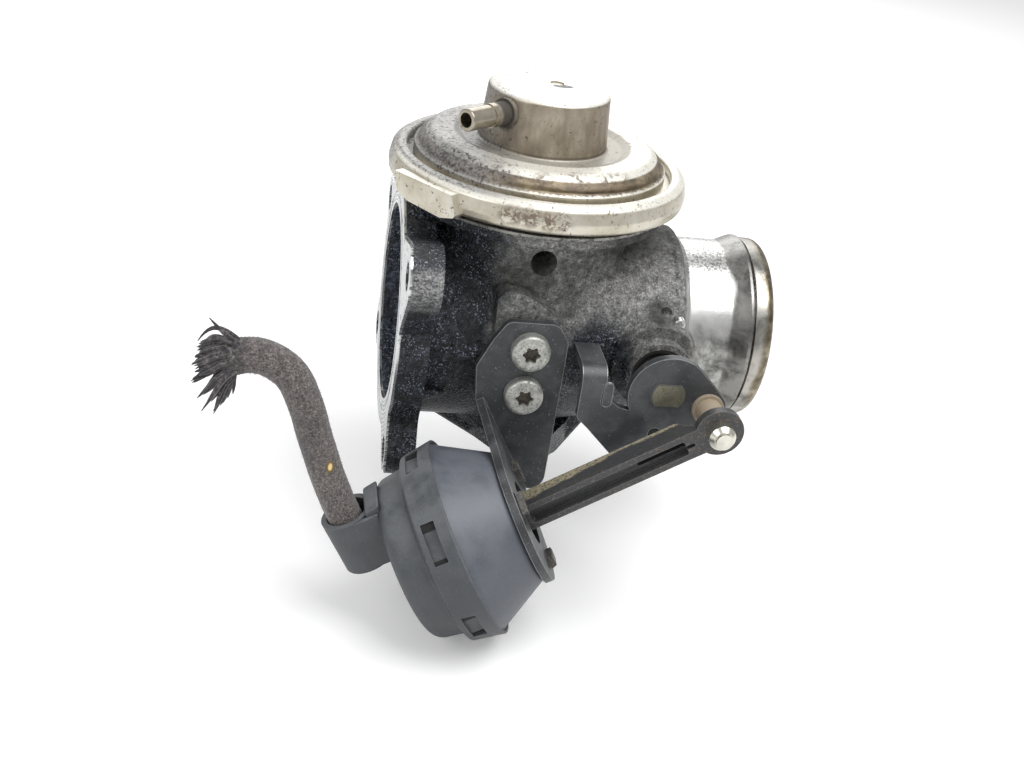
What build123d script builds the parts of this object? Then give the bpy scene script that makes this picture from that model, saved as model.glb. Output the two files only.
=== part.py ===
"""Vacuum EGR valve with intake duct, throttle flap, linkage and vacuum actuator.

Units are millimetres. The duct runs along +X from the manifold flange face (X = 0) to the
hose spigot. The diaphragm can stands on +Z and the flap linkage is on the -Y side.
"""
import os
from math import cos, pi, radians, sin, sqrt, tan

from build123d import *

os.makedirs("parts", exist_ok=True)

# ---------------------------------------------------------------- driving dimensions
FIT = 0.03                   # radial clearance of a running fit
GAP = 0.3                    # air left between curved faces of separate bodies

# intake duct
GASKET_T = 0.7               # manifold gasket thickness
FLANGE_BACK = 9.5            # rear face of the manifold flange
DUCT_LENGTH = 120.0
CHAMBER_R = 31.0             # bore at the manifold end
THROAT_R = 22.5              # bore round the throttle flap
CHAMBER_END = 48.0           # start of the taper into the throat
THROAT_START = 62.0
BODY_R = 35.0                # casting outside, manifold half
NECK_R = 33.3                # casting outside behind the throat
SHOULDER_R = 31.2            # casting outside at the machined shoulder
SHOULDER_X = 89.2
SPIGOT_R = 28.2              # machined spigot
SPIGOT_START = 91.8
FLARE_START = 106.6
FLARE_R = 30.3
LIP_R = 29.6
GROOVE_X = 112.5
GROOVE_W = 0.9
GROOVE_DEPTH = 1.2

LEDGES = (                   # (X, Z, width, height, reach past the casting)
    (57.5, 5.6, 14.0, 3.0, -0.6),
    (54.5, -5.6, 10.0, 6.0, -0.2),
)
PIP_PLACE = (87.4, -28.9, 12.5)
PIT_PLACE = (83.4, -27.9, 15.4)

# manifold flange bolts, (Y, Z) and lobe radius
MANIFOLD_BOLTS = {
    "front_top": (-45.0, 28.5, 10.0),
    "front_bottom": (-30.5, -37.5, 7.5),
    "rear_top": (35.5, 22.0, 8.5),
    "rear_bottom": (35.5, -25.0, 8.0),
}
MANIFOLD_HOLE_R = 4.3
FLANGE_HUB_R = 41.3

# EGR valve, all on one vertical axis
EGR_X = 41.6
TOP_FLANGE_R = 40.5
TOP_FLANGE_Z = 41.6          # joint face under the can
TOP_FLANGE_T = 3.4
NECK_TOP_R = 31.9
NECK_LOW_R = 31.0
NECK_LOW_Z = 2.0
VENT_R = 4.0
VENT_Z = 30.4                # where the vent leaves the neck
VENT_TILT = 14.0
VENT_CHAMBER_R = 15.0
VENT_CHAMBER_Z = 33.6
STEM_R = 3.0
GUIDE_R = 6.0
GUIDE_LOW_Z = 24.0
SEAT_Z = -29.0
SEAT_BORE_R = 11.3
SEAT_OUT_R = 15.5
SEAT_H = 7.0
POPPET_R = 13.5
EGR_LIFT = 5.0
INLET_X = 47.5               # EGR pipe flange, set a little towards the spigot
INLET_Z = -44.0              # its face
INLET_T = 8.0
INLET_BORE_R = 10.5
INLET_BOLT_Y = 19.5
INLET_LOBE_R = 6.5
INLET_HUB_R = 17.2
INLET_HOLE_R = 3.3
INLET_WALL = 3.0             # metal round the seat ring

# diaphragm can
PLATE_T = 0.8                # heat gasket under the can
PLATE_R = 41.2
CAN_SHEET = 1.3
CRIMP_R = 46.5
CRIMP_LOW = 44.8
CRIMP_TOP = 53.4
DISH_R = 38.0
DISH_FOOT_R = 39.2           # wider foot of the dish wall behind the crimp
DISH_FOOT_Z = 54.0
DISH_TOP = 59.2
DISH_FLOOR = 58.1            # shallow recess round the cup
CUP_R = 18.7
CUP_FOOT_R = 20.0
CUP_TOP = 74.8
NIPPLE_ANGLE = 221.0
NIPPLE_Z = 69.3
NIPPLE_R = 3.3
NIPPLE_REACH = 36.5          # from the can axis to the open end
NIPPLE_STEPS = (             # (radius, reach) of the foot, the shank and the tube
    (NIPPLE_R + 1.1, CUP_R + 1.6),
    (NIPPLE_R + 0.3, CUP_R + 8.2),
    (NIPPLE_R, NIPPLE_REACH),
)
EAR_ANGLE = 221.0
RIVET_CIRCLE_R = 30.5
RIVET_R = 2.0
RIVET_HEAD_R = 3.6
RIVET_HEAD_H = 1.0
RIVET_COUNT = 3
MEMBRANE_T = 1.0             # rubber of the EGR diaphragm

# flap shaft, lever and pin
SHAFT_X = 80.8
SHAFT_R = 5.0
BUSH_R = 7.0
BOSS_R = 13.8
BOSS_FRONT = BODY_R + 1.0    # wide foot of the boss, measured from the duct axis
BOSS_STEP_R = 10.6
BOSS_STEP_FRONT = BOSS_FRONT + 5.0
SEAL_R = 8.8
LEVER_BACK = BOSS_STEP_FRONT + 10.4
LEVER_T = 2.6
LEVER_HUB_R = 12.4
PIN_X = 93.6
PIN_Z = -3.4
PIN_R = 4.0
PIN_TIP = LEVER_BACK + 23.1
FLAP_R = 22.1
FLAP_T = 2.0

# vacuum actuator, on an axis that rises towards the lever
ACT_X = 25.1                 # centre of the snap ring's front face
ACT_Y = -65.0
ACT_Z = -45.5
ACT_ANGLE = 29.25
RING_R = 31.0
RING_REAR_R = 29.4
RING_LENGTH = 10.0
CUP_LENGTH = 16.3
CUP_NOSE_R = 20.1
ACT_WALL = 2.0
CAP_R = 26.5
CAP_REAR = 21.0
ROD_HOLE_R = 9.5
BALL_STATION = 9.0
BALL_R = 3.8
SOCKET_R = 6.6
HOSE_STATION = -30.6         # hose axis at its seat
COLLAR_SHIFT = 1.2           # the collar stands this much nearer to the cap
COLLAR_R = 8.1
COLLAR_TOP = 24.0
COLLAR_LOW = 6.6
MOUTH_R = 6.4
MOUTH_DEPTH = 7.0
HOSE_SEAT = 11.5
PORT_R = 1.6                 # air passage from the hose to the cap

# rod
ROD_W = 8.0
ROD_H = 8.6
ROD_WEB = 2.6
ROD_LIP = 1.9
EYE_R = 7.3

# bracket
PAD_FRONT = BODY_R + 2.5
BRACKET_T = 2.5
SCREWS = ((39.8, 5.2), (39.7, -9.6))
SCREW_HEAD_R = 6.0
SCREW_HEAD_H = 3.6
SCREW_R = 2.9

# vacuum hose
HOSE_D = 10.0
HOSE_Y = ACT_Y
HOSE_RUN = 16.3              # straight part from the seat to the first bend
HOSE_POINTS = (              # (X, Z) of the route after the first bend
    (-22.6, -16.4),
    (-26.4, -3.6),
    (-30.4, 5.2),
    (-36.8, 9.9),
    (-43.6, 10.9),
    (-50.0, 8.8),
)

# ---------------------------------------------------------------- derived places
FRONT = Plane.XZ             # local x is X, local y is Z, normal is -Y
egr_axis = Axis((EGR_X, 0, 0), (0, 0, 1))
act_u = Vector(cos(radians(ACT_ANGLE)), 0, sin(radians(ACT_ANGLE)))
act_n = Vector(-sin(radians(ACT_ANGLE)), 0, cos(radians(ACT_ANGLE)))
act_centre = Vector(ACT_X, ACT_Y, ACT_Z)
act_axis = Axis(act_centre, act_u)
ACT_PROFILE = Plane(origin=act_centre, x_dir=act_u, z_dir=Vector(0, -1, 0))
can_floor = TOP_FLANGE_Z + PLATE_T
flange_station = CUP_LENGTH
shaft_front = LEVER_BACK + LEVER_T + 0.3
pin_point = Vector(PIN_X, ACT_Y, PIN_Z)
ball_point = act_centre + act_u * BALL_STATION
rod_vector = ball_point - pin_point
rod_length = rod_vector.length
rod_dir = rod_vector.normalized()


def across(station):
    """Plane square to the actuator axis; local x is Y, local y points up the ring."""
    return Plane(origin=act_centre + act_u * station, x_dir=Vector(0, 1, 0), z_dir=act_u)


def save(part, label):
    """Name a finished part and write its STEP file."""
    part.label = label
    export_step(part, f"parts/{label}.step")


def revolved(plane, axis, points, radii):
    """Revolve an open outline with rounded corners that is closed along a straight line."""
    with BuildPart() as turned:
        with BuildSketch(plane):
            with BuildLine():
                outline = FilletPolyline(*points, radius=radii)
                Line(outline @ 1, outline @ 0)
            make_face()
        revolve(axis=axis)
    return turned.part


def can_section(points, radii):
    """Solid of revolution on the EGR axis from (radius, Z) points."""
    return revolved(FRONT, egr_axis, [(EGR_X + r, z) for r, z in points], radii)


def act_section(points, radii):
    """Solid of revolution on the actuator axis from (station, radius) points."""
    return revolved(ACT_PROFILE, act_axis, points, radii)


def helix_spring(plane, mean_r, wire_r, height, turns):
    """Open coil spring that starts at the plane and climbs along its normal."""
    with BuildPart() as coil:
        with BuildLine():
            path = Helix(
                pitch=height / turns, height=height, radius=mean_r, center=plane.origin,
                direction=plane.z_dir,
            )
        with BuildSketch(Plane(origin=path @ 0, z_dir=path % 0)):
            RegularPolygon(wire_r, 8)
        sweep(path=path, is_frenet=True)
    return coil.part


# ================================================================ housing casting
with BuildPart() as housing:
    # duct outside and machined spigot
    with BuildSketch(FRONT):
        with BuildLine():
            skin = FilletPolyline(
                (GASKET_T, 0), (GASKET_T, BODY_R), (54, BODY_R), (64, NECK_R),
                (SHOULDER_X - 3, SHOULDER_R), (SHOULDER_X - 1.8, SHOULDER_R + 0.5),
                (SHOULDER_X, SHOULDER_R + 0.3), (SPIGOT_START, SPIGOT_R),
                (FLARE_START, SPIGOT_R), (GROOVE_X - 1, FLARE_R), (GROOVE_X, FLARE_R),
                (GROOVE_X, LIP_R - GROOVE_DEPTH), (GROOVE_X + GROOVE_W, LIP_R - GROOVE_DEPTH),
                (GROOVE_X + GROOVE_W, LIP_R), (DUCT_LENGTH, LIP_R), (DUCT_LENGTH, 0),
                radius=[0.3, 12, 12, 0.5, 0.5, 0.8, 1, 6, 0.8, 0.3, 0.2, 0.2, 0.3, 3.0],
            )
            Line(skin @ 1, skin @ 0)
        make_face()
    revolve(axis=Axis.X)
    # manifold flange: hub and four bolt lobes with rounded valleys
    with BuildSketch(Plane.YZ.offset(GASKET_T)):
        with BuildSketch(mode=Mode.PRIVATE) as outline:
            Circle(FLANGE_HUB_R)
            for bolt_y, bolt_z, lobe_r in MANIFOLD_BOLTS.values():
                with BuildSketch(mode=Mode.PRIVATE) as lobe:
                    Circle(24)
                    with Locations((bolt_y, bolt_z)):
                        Circle(lobe_r)
                    make_hull()
                add(lobe.sketch)
        add(offset(offset(outline.sketch, 7, mode=Mode.PRIVATE), -7, mode=Mode.PRIVATE))
    extrude(amount=FLANGE_BACK - GASKET_T)
    # neck and top flange under the can
    with BuildSketch(FRONT):
        with BuildLine():
            neck = FilletPolyline(
                (EGR_X, NECK_LOW_Z), (EGR_X + NECK_LOW_R, NECK_LOW_Z),
                (EGR_X + NECK_TOP_R, TOP_FLANGE_Z - TOP_FLANGE_T),
                (EGR_X + TOP_FLANGE_R, TOP_FLANGE_Z - TOP_FLANGE_T),
                (EGR_X + TOP_FLANGE_R, TOP_FLANGE_Z), (EGR_X, TOP_FLANGE_Z),
                radius=[1, 3, 0.8, 0.5],
            )
            Line(neck @ 1, neck @ 0)
        make_face()
    revolve(axis=egr_axis)
    # bracket pad
    with BuildSketch(FRONT.offset(PAD_FRONT)):
        with BuildLine():
            pad = FilletPolyline(
                (29.5, -16), (28.4, 20.4), (30.6, 22.6), (35.6, 22.4), (39.6, 20.6),
                (42.4, 18.6), (50, 13.2), (50, -16), (30.5, -16),
                radius=[1.5, 1.5, 3, 1.2, 1.5, 3, 4],
            )
            Line(pad @ 1, pad @ 0)
        make_face()
    extrude(amount=-18, taper=-4)
    # shaft bosses, front and rear
    with BuildSketch(FRONT.offset(BOSS_FRONT)):
        with Locations((SHAFT_X, 0)):
            Circle(BOSS_R)
    extrude(amount=-14, taper=-6)
    with BuildSketch(FRONT.offset(BOSS_STEP_FRONT)):
        with Locations((SHAFT_X, 0)):
            Circle(BOSS_STEP_R)
    extrude(amount=-10)
    with BuildSketch(FRONT.offset(-BOSS_FRONT)):
        with Locations((SHAFT_X, 0)):
            Circle(BOSS_STEP_R + 1)
    extrude(amount=14, taper=-6)
    # EGR inlet neck and pipe flange under the duct
    with BuildSketch(Plane.XY.offset(INLET_Z + INLET_T)):
        with Locations((EGR_X, 0)):
            Circle(SEAT_OUT_R + INLET_WALL)
    extrude(amount=14)
    with BuildSketch(Plane.XY.offset(INLET_Z)):
        with Locations((INLET_X, 0)):
            Circle(INLET_HUB_R)
        with Locations((INLET_X, -INLET_BOLT_Y), (INLET_X, INLET_BOLT_Y)):
            Circle(INLET_LOBE_R)
        make_hull()
    extrude(amount=INLET_T)
    # gussets between the manifold flange and the duct
    for gusset_angle in (18, 52, 118, 205, 322):
        with BuildSketch(Plane.XZ.rotated((gusset_angle, 0, 0)).offset(-2)):
            with BuildLine():
                Polyline(
                    (FLANGE_BACK - 1, BODY_R - 3), (FLANGE_BACK - 1, FLANGE_HUB_R - 2),
                    (FLANGE_BACK + 13, BODY_R - 3), close=True,
                )
            make_face()
        extrude(amount=4)
    # cast ledges between the bracket pad and the shaft boss
    for ledge_x, ledge_z, ledge_w, ledge_h, ledge_front in LEDGES:
        with BuildSketch(FRONT.offset(BODY_R + ledge_front)):
            with Locations((ledge_x, ledge_z)):
                RectangleRounded(ledge_w, ledge_h, 1.2)
        extrude(amount=-12)
    # small ejector pip on the casting beside the boss
    with Locations(PIP_PLACE):
        Sphere(1.5)

    # ---- machined and cored hollows
    with BuildSketch(FRONT):
        with BuildLine():
            bore = FilletPolyline(
                (-5, 0), (-5, CHAMBER_R), (CHAMBER_END, CHAMBER_R), (THROAT_START, THROAT_R),
                (DUCT_LENGTH - 2, THROAT_R), (DUCT_LENGTH + 2, THROAT_R + 4),
                (DUCT_LENGTH + 2, 0), radius=[0.5, 6, 6, 1, 0.5],
            )
            Line(bore @ 1, bore @ 0)
        make_face()
    revolve(axis=Axis.X, mode=Mode.SUBTRACT)
    with BuildSketch(Plane.YZ.offset(GASKET_T)):
        with Locations(*[(y, z) for y, z, _ in MANIFOLD_BOLTS.values()]):
            Circle(MANIFOLD_HOLE_R)
    extrude(amount=FLANGE_BACK, mode=Mode.SUBTRACT)
    # vent chamber, its window, stem guide bore, seat pocket and inlet bore
    with BuildSketch(Plane.XY.offset(VENT_CHAMBER_Z)):
        with Locations((EGR_X, 0)):
            Circle(VENT_CHAMBER_R)
    extrude(amount=TOP_FLANGE_Z - VENT_CHAMBER_Z, mode=Mode.SUBTRACT)
    vent_plane = Plane(
        origin=(EGR_X, -NECK_LOW_R - 4, VENT_Z - 4 * tan(radians(VENT_TILT))),
        z_dir=(0, cos(radians(VENT_TILT)), sin(radians(VENT_TILT))),
    )
    with BuildSketch(vent_plane):
        Circle(VENT_R)
    extrude(amount=27, mode=Mode.SUBTRACT)
    with BuildSketch(Plane.XY.offset(GUIDE_LOW_Z)):
        with Locations((EGR_X, 0)):
            Circle(GUIDE_R)
    extrude(amount=TOP_FLANGE_Z - GUIDE_LOW_Z, mode=Mode.SUBTRACT)
    with BuildSketch(Plane.XY.offset(SEAT_Z - SEAT_H)):
        with Locations((EGR_X, 0)):
            Circle(SEAT_OUT_R)
    extrude(amount=SEAT_H + 8, mode=Mode.SUBTRACT)
    with BuildSketch(Plane.XY.offset(INLET_Z)):
        with Locations((INLET_X, 0)):
            Circle(INLET_BORE_R)
        with Locations((INLET_X, -INLET_BOLT_Y), (INLET_X, INLET_BOLT_Y)):
            Circle(INLET_HOLE_R)
    extrude(amount=INLET_T + 1, mode=Mode.SUBTRACT)
    # shaft bore, seal counterbore, plug seat
    with BuildSketch(FRONT.offset(BOSS_STEP_FRONT)):
        with Locations((SHAFT_X, 0)):
            Circle(SEAL_R)
    extrude(amount=-3.5, mode=Mode.SUBTRACT)
    with BuildSketch(FRONT.offset(BOSS_STEP_FRONT)):
        with Locations((SHAFT_X, 0)):
            Circle(BUSH_R)
    extrude(amount=-(BOSS_STEP_FRONT + BOSS_FRONT + 1), mode=Mode.SUBTRACT)
    # blind threads for the bracket screws
    with BuildSketch(FRONT.offset(PAD_FRONT)):
        with Locations(*SCREWS):
            Circle(SCREW_R)
    extrude(amount=-11, mode=Mode.SUBTRACT)
    # rivet holes under the can
    with BuildSketch(Plane.XY.offset(TOP_FLANGE_Z - 6)):
        with Locations((EGR_X, 0)):
            with PolarLocations(RIVET_CIRCLE_R, RIVET_COUNT, start_angle=30):
                Circle(RIVET_R)
    extrude(amount=6, mode=Mode.SUBTRACT)
    # shallow pit beside the pip
    with Locations(PIT_PLACE):
        Sphere(1.8, mode=Mode.SUBTRACT)

save(housing.part, "housing")

# ================================================================ manifold gasket
with BuildPart() as manifold_gasket:
    with BuildSketch(Plane.YZ):
        with BuildSketch(mode=Mode.PRIVATE) as outline:
            Circle(FLANGE_HUB_R - 1)
            for bolt_y, bolt_z, lobe_r in MANIFOLD_BOLTS.values():
                with BuildSketch(mode=Mode.PRIVATE) as lobe:
                    Circle(24)
                    with Locations((bolt_y, bolt_z)):
                        Circle(lobe_r - 1)
                    make_hull()
                add(lobe.sketch)
        add(offset(offset(outline.sketch, 7, mode=Mode.PRIVATE), -7, mode=Mode.PRIVATE))
        Circle(CHAMBER_R + 0.6, mode=Mode.SUBTRACT)
        with Locations(*[(y, z) for y, z, _ in MANIFOLD_BOLTS.values()]):
            Circle(MANIFOLD_HOLE_R, mode=Mode.SUBTRACT)
    extrude(amount=GASKET_T)
    # pressed sealing bead round the bore
    with BuildSketch(Plane.YZ.offset(-0.01)):
        Circle(CHAMBER_R + 4.2)
        Circle(CHAMBER_R + 2.6, mode=Mode.SUBTRACT)
    extrude(amount=0.26, mode=Mode.SUBTRACT)
save(manifold_gasket.part, "manifold_gasket")

# ================================================================ diaphragm can
with BuildPart() as can_gasket:
    with BuildSketch(Plane.XY.offset(TOP_FLANGE_Z)):
        with Locations((EGR_X, 0)):
            Circle(PLATE_R)
            Circle(VENT_CHAMBER_R - 1, mode=Mode.SUBTRACT)
            with PolarLocations(RIVET_CIRCLE_R, RIVET_COUNT, start_angle=30):
                Circle(RIVET_R, mode=Mode.SUBTRACT)
    extrude(amount=PLATE_T)
save(can_gasket.part, "can_gasket")

clamp_low = CRIMP_LOW + 2.6          # seat of the diaphragm bead
clamp_top = clamp_low + 3.4          # underside of the rolled crimp
with BuildPart() as egr_can_lower:
    add(can_section(
        [
            (0, can_floor), (39.5, can_floor), (42.5, CRIMP_LOW), (CRIMP_R - 0.4, CRIMP_LOW),
            (CRIMP_R, CRIMP_LOW + 3.4), (CRIMP_R - 0.8, CRIMP_TOP - 1.4),
            (CRIMP_R - 2.8, CRIMP_TOP), (41.2, CRIMP_TOP), (41.2, clamp_top),
            (44.6, clamp_top), (44.6, clamp_low), (38.2, clamp_low),
            (36.4, can_floor + CAN_SHEET), (0, can_floor + CAN_SHEET),
        ],
        [2, 1.2, 1.4, 3.5, 1.4, 1.2, 1.0, 0.3, 0.2, 0.3, 1.2, 1.2],
    ))
    # flattened ear of the crimp beside the manifold flange
    ear_dir = Vector(cos(radians(EAR_ANGLE)), sin(radians(EAR_ANGLE)), 0)
    ear_plane = Plane(
        origin=Vector(EGR_X, 0, 0) + ear_dir * 44.7, x_dir=Vector(-ear_dir.Y, ear_dir.X, 0),
        z_dir=ear_dir,
    )
    with BuildSketch(ear_plane):
        with BuildLine():
            ear = FilletPolyline(
                (-15, 51.2), (-13.5, 45.4), (-9, 43.8), (4.5, 43.2), (10.5, 45.0), (8.0, 51.2),
                radius=[2, 2, 2, 1.2],
            )
            Line(ear @ 1, ear @ 0)
        make_face()
    extrude(amount=3.2)
    # hole for the stem, rivet holes
    with BuildSketch(Plane.XY.offset(can_floor - 1)):
        with Locations((EGR_X, 0)):
            Circle(GUIDE_R + 1)
            with PolarLocations(RIVET_CIRCLE_R, RIVET_COUNT, start_angle=30):
                Circle(RIVET_R)
    extrude(amount=4, mode=Mode.SUBTRACT)
save(egr_can_lower.part, "egr_can_lower")

upper_low = clamp_low + 1.75         # the diaphragm bead lies below this flange
nipple_dir = Vector(cos(radians(NIPPLE_ANGLE)), sin(radians(NIPPLE_ANGLE)), 0)


def nipple_plane(reach):
    """Plane square to the can's vacuum nipple at a distance from the can axis."""
    return Plane(origin=Vector(EGR_X, 0, NIPPLE_Z) + nipple_dir * reach, z_dir=nipple_dir)


def can_shell(inset, low):
    """Outline of the drawn upper shell, moved inwards by the sheet thickness."""
    return [
        (0, low), (DISH_FOOT_R - inset, low), (DISH_FOOT_R - inset, DISH_FOOT_Z - inset),
        (DISH_R - inset, DISH_FOOT_Z + 0.9 - inset), (DISH_R - 0.4 - inset, DISH_TOP - 3 - inset),
        (DISH_R - 4 - inset, DISH_TOP - inset), (27.5, DISH_TOP - inset),
        (25.0, DISH_FLOOR - inset), (CUP_FOOT_R - inset, DISH_FLOOR - inset),
        (CUP_R - inset, CUP_TOP - inset), (0, CUP_TOP - inset),
    ]


with BuildPart() as egr_can_upper:
    add(can_section(can_shell(0, upper_low), [0.2, 0.5, 0.5, 2.0, 3.0, 2.0, 1.0, 0.8, 1.3]))
    with BuildSketch(Plane.XY.offset(upper_low)):
        with Locations((EGR_X, 0)):
            Circle(CRIMP_R - 2.2)
    extrude(amount=CAN_SHEET)
    add(can_section(can_shell(CAN_SHEET, upper_low - 1), [0.2, 0.4, 0.4, 1.0, 2.0, 2.0, 1.0, 1.0, 0.4]),
        mode=Mode.SUBTRACT)
    with BuildSketch(nipple_plane(CUP_R - 4)):
        Circle(NIPPLE_R - 0.6)
    extrude(amount=6, mode=Mode.SUBTRACT)
    # pressed dimple in the roof of the cup
    with BuildSketch(Plane.XY.offset(CUP_TOP - 0.5)):
        with Locations((EGR_X + 3, 5)):
            Circle(2.2)
    extrude(amount=1, mode=Mode.SUBTRACT)
save(egr_can_upper.part, "egr_can_upper")

with BuildPart() as egr_vacuum_nipple:
    for collar_r, collar_end in NIPPLE_STEPS:
        with BuildSketch(nipple_plane(CUP_R - 2)):
            Circle(collar_r)
        extrude(amount=collar_end - CUP_R + 2)
    fillet(egr_vacuum_nipple.faces().sort_by(Axis(egr_axis.position, nipple_dir))[-1].edges(), 0.4)
    # foot shaped to the tapered side of the cup
    add(can_section(can_shell(0, upper_low), [0.2, 0.5, 0.5, 2.0, 3.0, 2.0, 1.0, 0.8, 1.3]),
        mode=Mode.SUBTRACT)
    with BuildSketch(nipple_plane(CUP_R - 2.2)):
        Circle(NIPPLE_R - 0.6)
    extrude(amount=6)
    with BuildSketch(nipple_plane(0)):
        Circle(NIPPLE_R - 1.1)
    extrude(amount=NIPPLE_REACH + 1, mode=Mode.SUBTRACT)
save(egr_vacuum_nipple.part, "egr_vacuum_nipple")

with BuildPart() as can_rivets:
    with BuildSketch(Plane.XY.offset(TOP_FLANGE_Z - 6)):
        with Locations((EGR_X, 0)):
            with PolarLocations(RIVET_CIRCLE_R, RIVET_COUNT, start_angle=30):
                Circle(RIVET_R)
    extrude(amount=6 + PLATE_T + CAN_SHEET)
    with BuildSketch(Plane.XY.offset(can_floor + CAN_SHEET)):
        with Locations((EGR_X, 0)):
            with PolarLocations(RIVET_CIRCLE_R, RIVET_COUNT, start_angle=30):
                Circle(RIVET_HEAD_R)
    extrude(amount=RIVET_HEAD_H, taper=20)
save(can_rivets.part, "can_rivets")

# ================================================================ EGR valve train
plate_z = can_floor + CAN_SHEET + RIVET_HEAD_H + 1.5
with BuildPart() as egr_diaphragm:
    with BuildSketch(FRONT):
        with BuildLine():
            rubber = FilletPolyline(
                (EGR_X + STEM_R, plate_z - 0.5), (EGR_X + 28, plate_z - 0.5),
                (EGR_X + 31, plate_z + 3.6), (EGR_X + 35, plate_z + 3.6),
                (EGR_X + 37, clamp_low + 0.95), (EGR_X + 43.7, clamp_low + 0.95),
                radius=[2, 1.6, 1.6, 1.4],
            )
            offset(rubber, MEMBRANE_T / 2, kind=Kind.TANGENT)
        make_face()
    revolve(axis=egr_axis)
save(egr_diaphragm.part, "egr_diaphragm")

with BuildPart() as egr_diaphragm_plate:
    add(can_section(
        [(0, plate_z + 0.05), (26.5, plate_z + 0.05), (26.5, plate_z + 1.3),
         (17, plate_z + 1.3), (15.4, plate_z + 3.4), (14.4, plate_z + 3.4),
         (14.4, plate_z + 1.3), (6, plate_z + 1.3), (6, plate_z + 2.2), (0, plate_z + 2.2)],
        [0.4, 0.4, 0.4, 0.4, 0.3, 0.2, 0.2, 0.3],
    ))
    with BuildSketch(Plane.XY.offset(plate_z - 1)):
        with Locations((EGR_X, 0)):
            Circle(2.5)
    extrude(amount=5, mode=Mode.SUBTRACT)
save(egr_diaphragm_plate.part, "egr_diaphragm_plate")

with BuildPart() as egr_stem:
    with BuildSketch(Plane.XY.offset(SEAT_Z + 1)):
        with Locations((EGR_X, 0)):
            Circle(2.2)
    extrude(amount=4)
    with BuildSketch(Plane.XY.offset(SEAT_Z + 5)):
        with Locations((EGR_X, 0)):
            Circle(STEM_R)
    extrude(amount=plate_z - 1 - SEAT_Z - 5)
    with BuildSketch(Plane.XY.offset(plate_z - 1)):
        with Locations((EGR_X, 0)):
            Circle(2.5)
    extrude(amount=7.2)
save(egr_stem.part, "egr_stem")

with BuildPart() as egr_stem_nut:
    with BuildSketch(Plane.XY.offset(plate_z + 2.2)):
        with Locations((EGR_X, 0)):
            RegularPolygon(4.6, 6)
            Circle(2.5, mode=Mode.SUBTRACT)
    extrude(amount=3.2)
save(egr_stem_nut.part, "egr_stem_nut")

with BuildPart() as egr_poppet:
    add(can_section(
        [(0, SEAT_Z - 1.2), (SEAT_BORE_R - 1.2, SEAT_Z - 1.2), (POPPET_R, SEAT_Z + 1.3),
         (POPPET_R, SEAT_Z + 2.8), (5, SEAT_Z + 4.2), (3.4, SEAT_Z + 5), (0, SEAT_Z + 5)],
        [0.3, 0.3, 0.6, 1.0, 0.3],
    ))
    with BuildSketch(Plane.XY.offset(SEAT_Z + 1)):
        with Locations((EGR_X, 0)):
            Circle(2.2)
    extrude(amount=6, mode=Mode.SUBTRACT)
save(egr_poppet.part, "egr_poppet")

with BuildPart() as egr_seat_ring:
    with BuildSketch(Plane.XY.offset(SEAT_Z - SEAT_H)):
        with Locations((EGR_X, 0)):
            Circle(SEAT_OUT_R)
            Circle(SEAT_BORE_R, mode=Mode.SUBTRACT)
    extrude(amount=SEAT_H)
    # conical seat that matches the poppet
    add(can_section(
        [(0, SEAT_Z - 2.2), (SEAT_BORE_R - 1.17, SEAT_Z - 1.2), (POPPET_R + 0.6, SEAT_Z + 1.57),
         (0, SEAT_Z + 1.57)],
        [0.1, 0.1],
    ), mode=Mode.SUBTRACT)
save(egr_seat_ring.part, "egr_seat_ring")

with BuildPart() as egr_stem_guide:
    with BuildSketch(Plane.XY.offset(GUIDE_LOW_Z)):
        with Locations((EGR_X, 0)):
            Circle(GUIDE_R)
            Circle(STEM_R + FIT, mode=Mode.SUBTRACT)
    extrude(amount=15)
save(egr_stem_guide.part, "egr_stem_guide")

cup_inside = CUP_TOP - CAN_SHEET
with BuildPart() as egr_spring:
    add(helix_spring(
        Plane(origin=(EGR_X, 0, plate_z + 1.3 + 1.1), x_dir=(1, 0, 0), z_dir=(0, 0, 1)),
        12.2, 1.0, cup_inside - plate_z - 1.3 - 2.2, 5,
    ))
save(egr_spring.part, "egr_spring")

# ================================================================ throttle flap
shaft_rear = BOSS_FRONT - 3
with BuildPart() as flap_shaft:
    with BuildSketch(FRONT.offset(LEVER_BACK)):
        with Locations((SHAFT_X, 0)):
            Circle(SHAFT_R)
    extrude(amount=-(LEVER_BACK + shaft_rear))
    # double-D end that carries the lever
    with BuildSketch(FRONT.offset(LEVER_BACK)):
        with Locations((SHAFT_X, 0)):
            Circle(SHAFT_R - 0.02)
            Rectangle(12, 7, mode=Mode.INTERSECT)
    extrude(amount=shaft_front - LEVER_BACK)
    # slot for the flap, flat for its screws
    with Locations((SHAFT_X, 0, 0)):
        Box(12, 2 * FLAP_R + 0.6, FLAP_T + 0.02, mode=Mode.SUBTRACT)
    with Locations((SHAFT_X, 0, SHAFT_R)):
        Box(12, 2 * FLAP_R - 12, 2.6, mode=Mode.SUBTRACT)
    with Locations((SHAFT_X, -9, -SHAFT_R), (SHAFT_X, 9, -SHAFT_R)):
        Cylinder(1.55, 12 * SHAFT_R, mode=Mode.SUBTRACT)
save(flap_shaft.part, "flap_shaft")

with BuildPart() as throttle_flap:
    with BuildSketch(Plane.XY.offset(-FLAP_T / 2)):
        with Locations((SHAFT_X, 0)):
            Circle(FLAP_R)
        with Locations((SHAFT_X, -9), (SHAFT_X, 9)):
            Circle(1.55, mode=Mode.SUBTRACT)
    extrude(amount=FLAP_T)
    chamfer(throttle_flap.edges().filter_by(GeomType.CIRCLE).sort_by(SortBy.RADIUS)[-2:], 0.4)
save(throttle_flap.part, "throttle_flap")

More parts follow.
